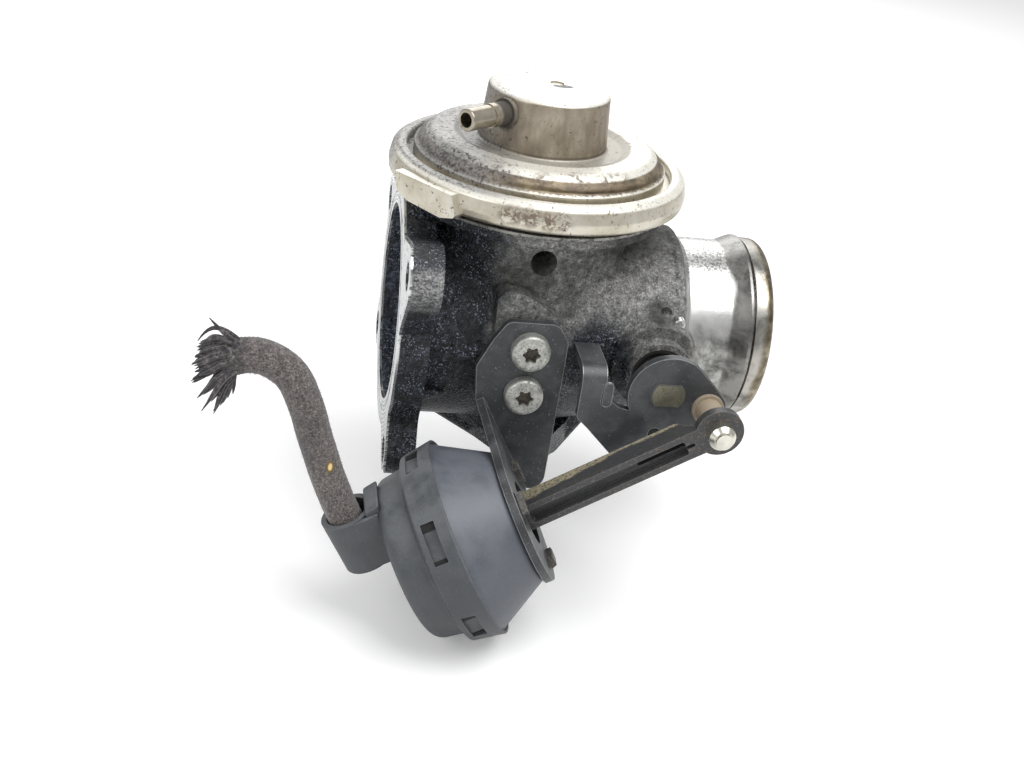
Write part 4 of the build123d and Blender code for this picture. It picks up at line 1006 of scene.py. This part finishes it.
def slab(
    name: str, outline: Row, front: float, back: float, soft: float
) -> bpy.types.Object:
    """Plate with rounded edges that stands square to the linkage.

    Args:
        name: Name of the piece.
        outline: X and Z of its corners in millimetres.
        front: Y of the face toward the linkage, in millimetres.
        back: Y of the far face, in millimetres.
        soft: Radius of its edges, in millimetres.

    Returns:
        The finished plate.
    """
    deselect()
    bpy.ops.mesh.primitive_circle_add(vertices=len(outline), radius=0.01, fill_type="NGON")
    piece = bpy.context.object
    piece.name = name
    for vertex, (x, z) in zip(piece.data.vertices, outline):
        vertex.co = (x * MM, front * MM, z * MM)
    bpy.ops.object.mode_set(mode="EDIT")
    bpy.ops.mesh.select_all(action="SELECT")
    bpy.ops.mesh.extrude_region_move(TRANSFORM_OT_translate={"value": (0, (back - front) * MM, 0)})
    bpy.ops.object.mode_set(mode="OBJECT")
    face_outwards(piece)
    bevel = piece.modifiers.new("soft_edges", "BEVEL")
    bevel.width = soft * MM
    bevel.segments = 4
    bevel.harden_normals = True
    bpy.ops.object.modifier_apply(modifier=bevel.name)
    return piece


def disc(name: str, centre: Point, radius: float, thick: float) -> bpy.types.Object:
    """Short rounded plug lying along Y.

    Args:
        name: Name of the piece.
        centre: Its middle in millimetres.
        radius: Its radius in millimetres.
        thick: Its length along Y in millimetres.

    Returns:
        The finished plug.
    """
    deselect()
    bpy.ops.mesh.primitive_uv_sphere_add(segments=32, ring_count=16, radius=1.0)
    piece = bpy.context.object
    piece.name = name
    for vertex in piece.data.vertices:
        x, y, z = vertex.co
        flat = max(-0.5, min(0.5, y * 0.9)) * thick
        vertex.co = Vector((centre[0] + x * radius, centre[1] + flat, centre[2] + z * radius)) * MM
    bpy.ops.object.shade_smooth()
    return piece


def coil(
    node: bpy.types.Object, material: bpy.types.Material,
) -> None:
    """Stand a merged copy of a coil spring in for its node, fixed to the housing.

    Args:
        node: The spring's node.
        material: Its finish.
    """
    piece = merged_copy(node, node.name + "_coil")
    face_outwards(piece)
    dress(piece, material)
    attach(piece, "housing")
    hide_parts(node.name)
    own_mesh(piece)


# ------------------------------------------------------------------------------ assemblies
@dataclass
class WovenHose:
    """Short braided vacuum hose that leaves the actuator's collar and ends cut and frayed."""

    diameter: float = 10 * MM
    length: float = 81.6 * MM
    side: float = -65 * MM
    body: str = "housing"
    route: Row = (
        (-7.22, -50.42), (-15.18, -36.20), (-22.6, -16.4), (-26.4, -3.6), (-30.4, 5.2),
        (-36.8, 9.9), (-43.6, 10.9), (-50.0, 8.8),
    )
    carriers: int = 20
    braid_pitch: float = 17 * MM
    seed: int = 7
    facets: int = 120
    fibres: int = 1500
    fibre_thick: float = 0.045 * MM
    yarn_thick: float = 0.5 * MM
    # radius in millimetres, number and splay of each ring of tufts at the cut
    rings: tuple[tuple[float, int, float], ...] = (
        (4.7, 13, 1.0), (4.3, 12, 0.65), (3.0, 9, 0.35), (1.2, 5, 0.1))
    # drop of each tuft that hangs under the cut, in millimetres
    dangling: tuple[Point, ...] = (
        (-1.6, 3.2, -9.6), (-0.4, 1.4, -7.4), (-2.6, -1.8, -8.8), (-3.2, 0.6, -10.4))
    # yarns that curl up and away from the cut, in millimetres
    curls: tuple[tuple[Point, ...], ...] = (
        ((-45.8, -66.5, 14.6), (-48.6, -67.0, 16.6), (-51.0, -66.8, 18.6),
         (-53.8, -66.0, 21.4)),
        ((-45.6, -65.0, 14.7), (-49.4, -65.4, 18.2), (-54.4, -65.6, 18.4),
         (-56.6, -65.8, 14.2)),
        ((-46.0, -67.0, 14.2), (-50.4, -67.6, 17.0), (-54.0, -67.6, 16.2),
         (-56.0, -67.2, 12.6)),
    )

    def path(self) -> list[Vector]:
        """Points of the centre line, about a quarter of a millimetre apart."""
        run = [(Vector((x * MM, self.side, z * MM)), 1.0) for x, z in self.route]
        guide = lay_curve("hose_line", [run], 0.0, 0, steps=40)
        read = bpy.data.meshes.new_from_object(guide)
        points = [vertex.co.copy() for vertex in read.vertices]
        bpy.data.meshes.remove(read)
        bpy.data.objects.remove(guide)
        return points

    def swell(self, run: float, turn: float) -> float:
        """Radius of the braided skin.

        Args:
            run: Distance from the start of the hose.
            turn: Angle round it.

        Returns:
            The radius in metres.
        """
        along = math.tau * run / self.braid_pitch * self.carriers / 2
        round_it = turn * self.carriers / 2
        weave = abs(math.sin(round_it + along) * math.sin(round_it - along)) ** 0.5
        lump = math.sin(3 * turn + 190 * run) * math.sin(2 * turn - 310 * run)
        end = max(0.0, 1 - (self.length - run) / (7 * MM))
        skin = self.diameter / 2 - 0.12 * MM
        return skin + 0.17 * MM * weave + 0.07 * MM * lump + 0.35 * MM * end

    def tube(self, points: list[Vector]) -> bpy.types.Object:
        """Braided tube round the centre line.

        Args:
            points: Centre line from the collar to the cut end.

        Returns:
            The tube.
        """
        sides = self.facets
        verts: list[Vector] = []
        run = 0.0
        for index, point in enumerate(points):
            before = points[max(index - 1, 0)]
            after = points[min(index + 1, len(points) - 1)]
            run += (point - before).length
            rise = ACROSS.cross((after - before).normalized())
            for step in range(sides):
                turn = math.tau * step / sides
                verts.append(point + spoke(rise, turn) * self.swell(run, turn))
        rows = len(points)
        faces = [
            (row * sides + step, row * sides + (step + 1) % sides,
             (row + 1) * sides + (step + 1) % sides, (row + 1) * sides + step)
            for row in range(rows - 1) for step in range(sides)
        ]
        faces.append(tuple(range(sides - 1, -1, -1)))
        faces.append(tuple((rows - 1) * sides + step for step in range(sides)))
        mesh = bpy.data.meshes.new("hose_tube")
        mesh.from_pydata([tuple(v) for v in verts], [], faces)
        piece = stand("hose_tube", mesh)
        face_outwards(piece)
        return piece

    def fuzz(self, points: list[Vector], pick: random.Random) -> bpy.types.Object:
        """Short loose fibres that stand off the braid.

        Args:
            points: Centre line of the hose.
            pick: Seeded source of chance.

        Returns:
            The fibres as one mesh.
        """
        runs = []
        for _ in range(self.fibres):
            index = pick.randrange(8, len(points) - 2)
            point, tangent = points[index], (points[index + 1] - points[index]).normalized()
            out = spoke(ACROSS.cross(tangent), pick.uniform(0, math.tau))
            around = tangent.cross(out)
            root = point + out * (self.diameter / 2 - 0.2 * MM)
            lean = tangent * pick.uniform(-0.7, 0.7) + around * pick.uniform(-0.7, 0.7)
            reach = pick.uniform(0.3, 0.8) * MM
            runs.append([
                (root, 1.0), (root + out * reach * 0.8 + lean * reach * 0.6, 0.7),
                (root + out * reach + lean * reach * 1.6, 0.15)])
        return mesh_of(lay_curve("hose_fuzz", runs, self.fibre_thick, 0, steps=2))

    def tuft(
        self, root: Vector, first: Vector, tip: Vector, strands: int, wide: Vector,
        pick: random.Random,
    ) -> list[list[tuple[Vector, float]]]:
        """Strands of one matted tuft.

        Args:
            root: Where the tuft leaves the hose.
            first: Point that it heads for before it bends.
            tip: Where the strands meet.
            strands: How many strands.
            wide: Half of its width at the middle.
            pick: Seeded source of chance.

        Returns:
            Runs for lay_curve.
        """
        runs = []
        cross = wide.cross((tip - root).normalized())
        for index in range(strands):
            share = (index + 0.5) / strands * 2 - 1
            shift = wide * share + cross * pick.uniform(-0.7, 0.7)
            ends = tip + wide * share * 0.45 + (tip - first) * pick.uniform(-0.22, 0.16)
            middle = first.lerp(ends, 0.55) + shift * pick.uniform(0.7, 1.0)
            runs.append([
                (root + shift * 0.6, 1.0), (first + shift * 0.9, 1.0), (middle, 0.9),
                (ends.lerp(middle, 0.35), 0.62), (ends, 0.2)])
        return runs

    def fray(self, points: list[Vector], pick: random.Random) -> bpy.types.Object:
        """Unravelled yarns at the cut end, matted into tapered tufts.

        Args:
            points: Centre line of the hose.
            pick: Seeded source of chance.

        Returns:
            The tufts as one mesh.
        """
        end = points[-1]
        ahead = (points[-1] - points[-9]).normalized()
        rise = ACROSS.cross(ahead)
        if rise.z < 0:
            rise = -rise
        runs: list[list[tuple[Vector, float]]] = []
        for ring, count, splay in self.rings:
            for index in range(count):
                turn = math.tau * (index + pick.uniform(-0.25, 0.25)) / count
                out = spoke(rise, turn)
                low = max(0.0, -math.sin(turn))
                high = max(0.0, math.sin(turn))
                root = end - ahead * (1.4 + 1.2 * splay) * MM + out * ring * MM
                reach = (5.4 - 1.0 * high + 0.8 * low + pick.uniform(-1.0, 1.0)) * MM
                spread = (0.35 + 0.75 * low + 0.12 * high) * splay
                first = root + ahead * 2.9 * MM + out * (0.5 + 1.6 * low) * splay * MM
                tip = first + (ahead + out * spread).normalized() * reach
                tip += Vector((0, 0, -1)) * (1.6 + 1.6 * low) * MM
                runs += self.tuft(root, first, tip, pick.choice((4, 5, 6)),
                                  ahead.cross(out).normalized() * 0.9 * MM, pick)
        for drop_x, drop_y, drop_z in self.dangling:
            root = end - ahead * 2.6 * MM - rise * 4.2 * MM + ACROSS * drop_y * 0.6 * MM
            first = root - rise * 1.8 * MM + ahead * 1.2 * MM
            tip = root + Vector((drop_x, drop_y * 0.4, drop_z)) * MM
            runs += self.tuft(root, first, tip, 6, ACROSS * 0.9 * MM, pick)
        for curl in self.curls:
            row = [Vector(point) * MM for point in curl]
            for _ in range(3):
                jolt = Vector([pick.uniform(-1, 1) for _ in range(3)]) * 0.28 * MM
                runs.append([
                    (row[0] + jolt, 1.0), (row[1] + jolt, 1.0), (row[2] + jolt, 0.9),
                    (row[3], 0.3)])
        return mesh_of(lay_curve("hose_fray", runs, self.yarn_thick, 1))

    def build(self) -> None:
        pick = random.Random(self.seed)
        points = self.path()
        tube = self.tube(points)
        fray = self.fray(points, pick)
        fuzz = self.fuzz(points, pick)
        yarn = FeltedYarn("hose_yarn").material()
        for piece in (tube, fray, fuzz):
            dress(piece, yarn)
            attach(piece, self.body)
        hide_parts("vacuum_hose")
        log.info("woven hose: %d rings, frayed end and fuzz", len(points))


@dataclass
class Casting:
    """Housing casting with its gaskets."""

    nodes: dict[str, bpy.types.Object]
    web: Row = (
        (12.0, -28.0), (16.6, -37.6), (38.6, -50.6), (50.0, -53.0), (61.4, -52.8), (71.6, -36.0),
        (71.6, -24.0), (12.0, -24.0),
    )
    web_reach: tuple[float, float] = (-4.0, 12.0)
    web_soft: float = 2.4
    ball: Point = (87.0, -30.2, 13.4)
    ball_radius: float = 2.0
    ball_depth: float = 4.0

    def extras(self, skin: bpy.types.Material) -> None:
        """Cast web under the chamber and the polished end of a sealing ball.

        Args:
            skin: Material of the casting.
        """
        web = slab("cast_web", self.web, *self.web_reach, self.web_soft)
        dress(web, skin)
        ball = disc("sealing_ball", self.ball, self.ball_radius, self.ball_depth)
        polished = PlatedMetal(
            "ball_steel", paint(232, 232, 230), paint(150, 150, 148), 0.2, 0.64)
        dress(ball, polished.material())
        for piece in (web, ball):
            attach(piece, "housing")

    def build(self) -> None:
        """Dress the casting and its gaskets."""
        skin = CastSkin().material()
        dress(self.nodes["housing"], skin)
        self.extras(skin)
        dress_nodes(self.nodes, (
            (BeadGasket(), ("manifold_gasket",)),
            (PlatedMetal("heat_plate", paint(158, 157, 152), paint(70, 68, 64), 0.4, 0.5),
             ("can_gasket",)),
        ))
        log.info("casting dressed")


@dataclass
class DiaphragmCan:
    """Crimped steel can on top, its nipple, rivets and the parts inside."""

    nodes: dict[str, bpy.types.Object]
    lift: float = 5.0 * MM

    def build(self) -> None:
        """Dress the can and what it holds."""
        dress_nodes(self.nodes, (
            (CanSteel("drawn_can"), ("egr_can_lower", "egr_can_upper")),
            (PlatedMetal(
                "nipple_steel", paint(186, 178, 162), paint(96, 86, 68), 0.28, 0.56,
                dirt_at=(25.4, -14.1, 69.3), dirt_reach=5.4 * MM), ("egr_vacuum_nipple",)),
            (PlatedMetal("dull_zinc", paint(172, 172, 168), paint(84, 82, 78), 0.38),
             ("can_rivets",)),
            (SoftRubber("can_rubber"), ("egr_diaphragm",)),
            (PlatedMetal("plate_zinc", paint(170, 166, 150), paint(90, 84, 70), 0.36),
             ("egr_diaphragm_plate", "egr_stem_nut")),
            (PlatedMetal("heat_stained", paint(132, 124, 112), paint(36, 33, 31), 0.42, 0.46),
             ("egr_stem", "egr_poppet", "egr_seat_ring")),
            (PlatedMetal("guide_bronze", paint(168, 134, 84), paint(70, 54, 38), 0.36),
             ("egr_stem_guide", "shaft_bush_front", "shaft_bush_rear")),
        ))
        spring = PlatedMetal("spring_wire", paint(128, 126, 122), paint(60, 56, 52), 0.34)
        coil(self.nodes["egr_spring"], spring.material())
        log.info("diaphragm can dressed")


@dataclass
class FlapLinkage:
    """Throttle flap, its shaft, lever and pin."""

    nodes: dict[str, bpy.types.Object]
    scratch: Row = (
        (80.6, 11.1), (78.2, 9.8), (76.4, 7.4), (76.6, 5.0), (74.2, 2.4), (75.9, -2.4),
        (75.6, -5.4), (74.2, -8.8),
    )
    scratch_thick: float = 0.11 * MM
    face_limit: float = -54.0 * MM
    plug: Point = (78.8, -52.8, -13.3)
    plug_radius: float = 2.15
    plug_depth: float = 1.5

    def scored_line(self) -> None:
        """Lay the pale scored line across the lever's face, and a dark disc of painted shade in its
        small hole.
        """
        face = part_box("flap_lever")[0][1]
        front = max(face, self.face_limit)
        run = [(Vector((x * MM, front, z * MM)), 1.0) for x, z in self.scratch]
        line = mesh_of(lay_curve("lever_scratch", [run], self.scratch_thick, 0))
        scored = PlatedMetal("scored_steel", paint(132, 132, 130), paint(80, 80, 80), 0.4)
        dress(line, scored.material())
        # Near-black disc in the lever's small hole: painted shade.
        plug = disc("hole_shade_disc", self.plug, self.plug_radius, self.plug_depth)
        dress(plug, SoftRubber("painted_hole_shade", paint(20, 19, 17), paint(52, 48, 40)).material())
        for piece in (line, plug):
            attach(piece, "flap")

    def build(self) -> None:
        """Dress the flap and its linkage."""
        dress_nodes(self.nodes, (
            (PaintedSheet("lever_coat", paint(58, 60, 63), shine=0.34), ("flap_lever",)),
            (PlatedMetal("shaft_zinc", paint(150, 147, 130), paint(92, 86, 66), 0.42),
             ("flap_shaft",)),
            (PlatedMetal(
                "turned_pin", paint(226, 224, 212), paint(150, 138, 110), 0.24, 0.6,
                dirt_at=(93.6, -52.0, -3.4), dirt_reach=12.5 * MM, dirt_and_shade=paint(150, 134, 112)),
             ("lever_pin",)),
            (PlatedMetal("flap_brass", paint(176, 152, 96), paint(48, 42, 34), 0.4, 0.47),
             ("throttle_flap",)),
            (PlatedMetal("screw_zinc", paint(164, 164, 160), paint(60, 58, 55), 0.4),
             ("flap_screws", "shaft_end_plug")),
            (SoftRubber("seal_rubber"), ("shaft_seal",)),
        ))
        log.info("flap linkage dressed")


@dataclass
class VacuumActuator:
    """Plastic vacuum actuator with its rod, bracket and screws."""

    nodes: dict[str, bpy.types.Object]
    cheek: Row = (
        (-3.9, -53.8), (-12.1, -39.3), (-4.0, -34.4), (4.4, -49.2))
    bridge: Row = (
        (1.2, -51.1), (-7.8, -35.0), (-3.9, -31.7), (-2.5, -36.9), (4.4, -49.3))
    pin: tuple[float, float] = (93.6 * MM, -3.4 * MM)
    stroke: float = 16.8 * MM
    eye_front: float = -69.1 * MM
    eye_share: float = 0.36
    taper: tuple[float, float] = (7.8 * MM, 11.4 * MM)
    rod_lean: float = math.radians(28.4)
    rod_cuts: tuple[float, ...] = (8.4, 9.3, 10.2, 11.4)
    crease: float = math.radians(28)
    cheek_reach: tuple[float, float] = (-73.0, -71.5)
    cheek_soft: float = 0.5
    bridge_reach: tuple[float, float] = (-72.0, -58.0)
    bridge_soft: float = 0.8
    windows: int = 6
    first_window: float = 23.0
    window_back: float = 6.1
    window_radius: float = 28.7
    window_depth: float = 0.3
    window_width: float = 3.9
    # shift round the ring and length of the two painted shade blocks at the ends of a window
    window_sides: Row = ((5.5, 1.3), (-4.9, 2.4))
    spring_back: float = 18.95

    def thin_eye(self) -> bpy.types.Object:
        """Rod whose eye is a thin ring at the front of the pin, thickening to the full bar.

        Returns:
            The merged and reshaped copy of the rod.
        """
        rod = merged_copy(self.nodes["actuator_rod"], "rod_thin_eye")
        bpy.ops.object.mode_set(mode="EDIT")
        along = Vector((-math.cos(self.rod_lean), 0.0, -math.sin(self.rod_lean)))
        for step in self.rod_cuts:
            bpy.ops.mesh.select_all(action="SELECT")
            place = Vector((self.pin[0], 0.0, self.pin[1])) + along * step * MM
            bpy.ops.mesh.bisect(plane_co=place, plane_no=along)
        bpy.ops.object.mode_set(mode="OBJECT")
        near, far = self.taper
        for vertex in rod.data.vertices:
            reach = math.hypot(vertex.co.x - self.pin[0], vertex.co.z - self.pin[1])
            share = min(1.0, max(0.0, (reach - near) / (far - near)))
            scale = self.eye_share + (1 - self.eye_share) * share
            vertex.co.y = self.eye_front + (vertex.co.y - self.eye_front) * scale
        face_outwards(rod)
        bpy.ops.object.mode_set(mode="EDIT")
        bpy.ops.mesh.select_all(action="DESELECT")
        bpy.ops.mesh.edges_select_sharp(sharpness=self.crease)
        bpy.ops.mesh.mark_sharp()
        bpy.ops.object.mode_set(mode="OBJECT")
        return rod

    def painted_window_shade(self) -> bpy.types.Object:
        """Near-black blocks, painted shade in the deep ends of the six snap windows in the cap's
        ring.

        Returns:
            All ends as one piece.
        """
        axis, rise = actuator_axes()
        centre = Vector(RING_FRONT) * MM - axis * self.window_back * MM
        deselect()
        ends = []
        for index in range(self.windows):
            out = spoke(rise, math.radians(self.first_window + 360 / self.windows * index))
            round_it = axis.cross(out)
            for shift, wide in self.window_sides:
                bpy.ops.mesh.primitive_cube_add(size=1.0)
                block = bpy.context.object
                for vertex in block.data.vertices:
                    x, y, z = vertex.co
                    reach = self.window_radius + self.window_depth * x
                    vertex.co = (centre + out * reach * MM + axis * y * self.window_width * MM
                                 + round_it * (shift + z * wide) * MM)
                ends.append(block)
        deselect()
        for block in ends:
            block.select_set(True)
        bpy.context.view_layer.objects.active = ends[0]
        bpy.ops.object.join()
        piece = bpy.context.object
        piece.name = "window_shade_blocks"
        return piece

    def build(self) -> None:
        """Dress the actuator, rod, bracket and screws."""
        dress_nodes(self.nodes, (
            (MouldedPlastic(
                "cup_plastic", paint(84, 88, 96), paint(124, 128, 136), 0.34, 0.3, 0.1,
                grimy_from=18.4 * MM), ("actuator_cup",)),
            (SoftRubber("actuator_rubber"), ("actuator_diaphragm",)),
            (PaintedSheet("bracket_coat"), ("actuator_bracket",)),
        ))
        moulded = MouldedPlastic(
            "cap_plastic", paint(68, 71, 75), paint(114, 117, 120), 0.44, 0.5, 0.12).material()
        cheek = slab("collar_cheek", self.cheek, *self.cheek_reach, self.cheek_soft)
        bridge = slab("collar_bridge", self.bridge, *self.bridge_reach, self.bridge_soft)
        for piece in (self.nodes["actuator_cap"], cheek, bridge):
            dress(piece, moulded)
        # Near-black blocks in the window ends: painted shade.
        ends = self.painted_window_shade()
        dress(ends, SoftRubber("window_shadow", paint(6, 6, 7), paint(20, 20, 22)).material())
        for piece in (cheek, bridge, ends):
            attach(piece, "housing")
        dusty = DustyRod("rod_plastic").material()
        rod = self.thin_eye()
        for piece in (self.nodes["actuator_rod"], self.nodes["actuator_plate"], rod):
            dress(piece, dusty)
        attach(rod, "rod")
        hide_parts("actuator_rod")
        wire = PlatedMetal("actuator_wire", paint(128, 126, 122), paint(60, 56, 52), 0.34)
        coil(self.nodes["actuator_spring"], wire.material())
        screws = DriveScrewZinc("drive_screw").material(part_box("bracket_screws")[0][1])
        dress(self.nodes["bracket_screws"], screws)
        log.info("vacuum actuator dressed")


# ------------------------------------------------------------------------------ studio
@dataclass
class Studio:
    """Camera, floor and soft lights."""

    turn: float = 11.44
    dip: float = 27.18
    roll: float = 8.82
    distance: float = 473.13 * MM
    aim: Point = (43.995 * MM, 0.0, -27.51 * MM)
    lens: float = 49.395
    sensor: float = 36.0
    floor_size: float = 6.0
    lit_centre: Point = (0.04, -0.02, 0.0)
    sky: float = 0.5
    pale: float = 0.86
    veil: float = 0.22
    lights: tuple[tuple[str, Point, float, float], ...] = (
        ("overhead", (0.34, -0.32, 0.95), 0.75, 9.0),
        ("window", (-0.80, -0.55, 0.60), 0.6, 3.0),
        ("back", (0.10, 0.90, 0.55), 0.8, 4.0),
    )

    def camera(self) -> None:
        """Stand the camera where the product is viewed from."""
        turn, dip, roll = (math.radians(a) for a in (self.turn, self.dip, self.roll))
        forward = Vector((
            math.sin(turn) * math.cos(dip), math.cos(turn) * math.cos(dip), -math.sin(dip)))
        level = Vector((math.cos(turn), -math.sin(turn), 0.0))
        rise = level.cross(forward)
        right = level * math.cos(roll) + rise * math.sin(roll)
        up = rise * math.cos(roll) - level * math.sin(roll)
        data = bpy.data.cameras.new("view")
        data.sensor_width = self.sensor
        data.sensor_fit = "HORIZONTAL"
        data.lens = self.lens
        data.clip_start = 0.01
        camera = stand("view", data)
        basis = Matrix((right, up, -forward)).transposed().to_4x4()
        basis.translation = Vector(self.aim) - forward * self.distance
        camera.matrix_world = basis
        bpy.context.scene.camera = camera

    def floor(self, level: float) -> None:
        """Lay the pale floor.

        Args:
            level: Height of the floor.
        """
        deselect()
        bpy.ops.mesh.primitive_plane_add(size=self.floor_size, location=(0, 0, level))
        plane = bpy.context.object
        plane.name = "floor"
        bench = Bench("pale_floor")
        lit, met = bench.add("ShaderNodeBsdfDiffuse"), bench.add("ShaderNodeBsdfDiffuse")
        for matt in (lit, met):
            matt.inputs["Color"].default_value = grey(self.pale)
        glow = bench.add("ShaderNodeEmission")
        glow.inputs["Color"].default_value = grey(1.0)
        glow.inputs["Strength"].default_value = self.veil
        ray = bench.add("ShaderNodeLightPath")
        lift = bench.add("ShaderNodeAddShader")
        bench.wire(lit.outputs[0], lift.inputs[0])
        bench.wire(glow.outputs[0], lift.inputs[1])
        seen = bench.add("ShaderNodeMixShader")
        bench.wire(ray.outputs["Is Camera Ray"], seen.inputs[0])
        bench.wire(met.outputs[0], seen.inputs[1])
        bench.wire(lift.outputs[0], seen.inputs[2])
        output = bench.add("ShaderNodeOutputMaterial")
        bench.wire(seen.outputs[0], output.inputs[0])
        dress(plane, bench.material)
        plane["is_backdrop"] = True

    def lamps(self) -> None:
        """Hang the soft lights and set the sky."""
        centre = Vector(self.lit_centre)
        for name, place, size, power in self.lights:
            data = bpy.data.lights.new(name, "AREA")
            data.size = size
            data.energy = power
            lamp = stand(name, data)
            lamp.location = place
            lamp.rotation_euler = (centre - Vector(place)).to_track_quat("-Z", "Y").to_euler()
        world = bpy.data.worlds.new("sky")
        world.use_nodes = True
        background = world.node_tree.nodes["Background"]
        background.inputs["Color"].default_value = grey(1.0)
        background.inputs["Strength"].default_value = self.sky
        bpy.context.scene.world = world
        bpy.context.scene.view_settings.view_transform = "Standard"

    def build(self, level: float) -> None:
        """Set up floor and lights.

        Args:
            level: Height of the floor.
        """
        self.floor(level)
        self.lamps()
        log.info("studio set, floor at %.4f", level)


def main() -> None:
    """Load the frame, dress every sub-assembly and set the studio."""
    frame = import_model()
    cad_box = [list(corner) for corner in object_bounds()]
    nodes = frame["nodes"]
    studio = Studio()
    studio.camera()
    WovenHose().build()
    Casting(nodes).build()
    DiaphragmCan(nodes).build()
    linkage = FlapLinkage(nodes)
    linkage.build()
    linkage.scored_line()
    VacuumActuator(nodes).build()
    studio.build(cad_box[0][2] - 0.3 * MM)


if __name__ == "__main__":
    main()
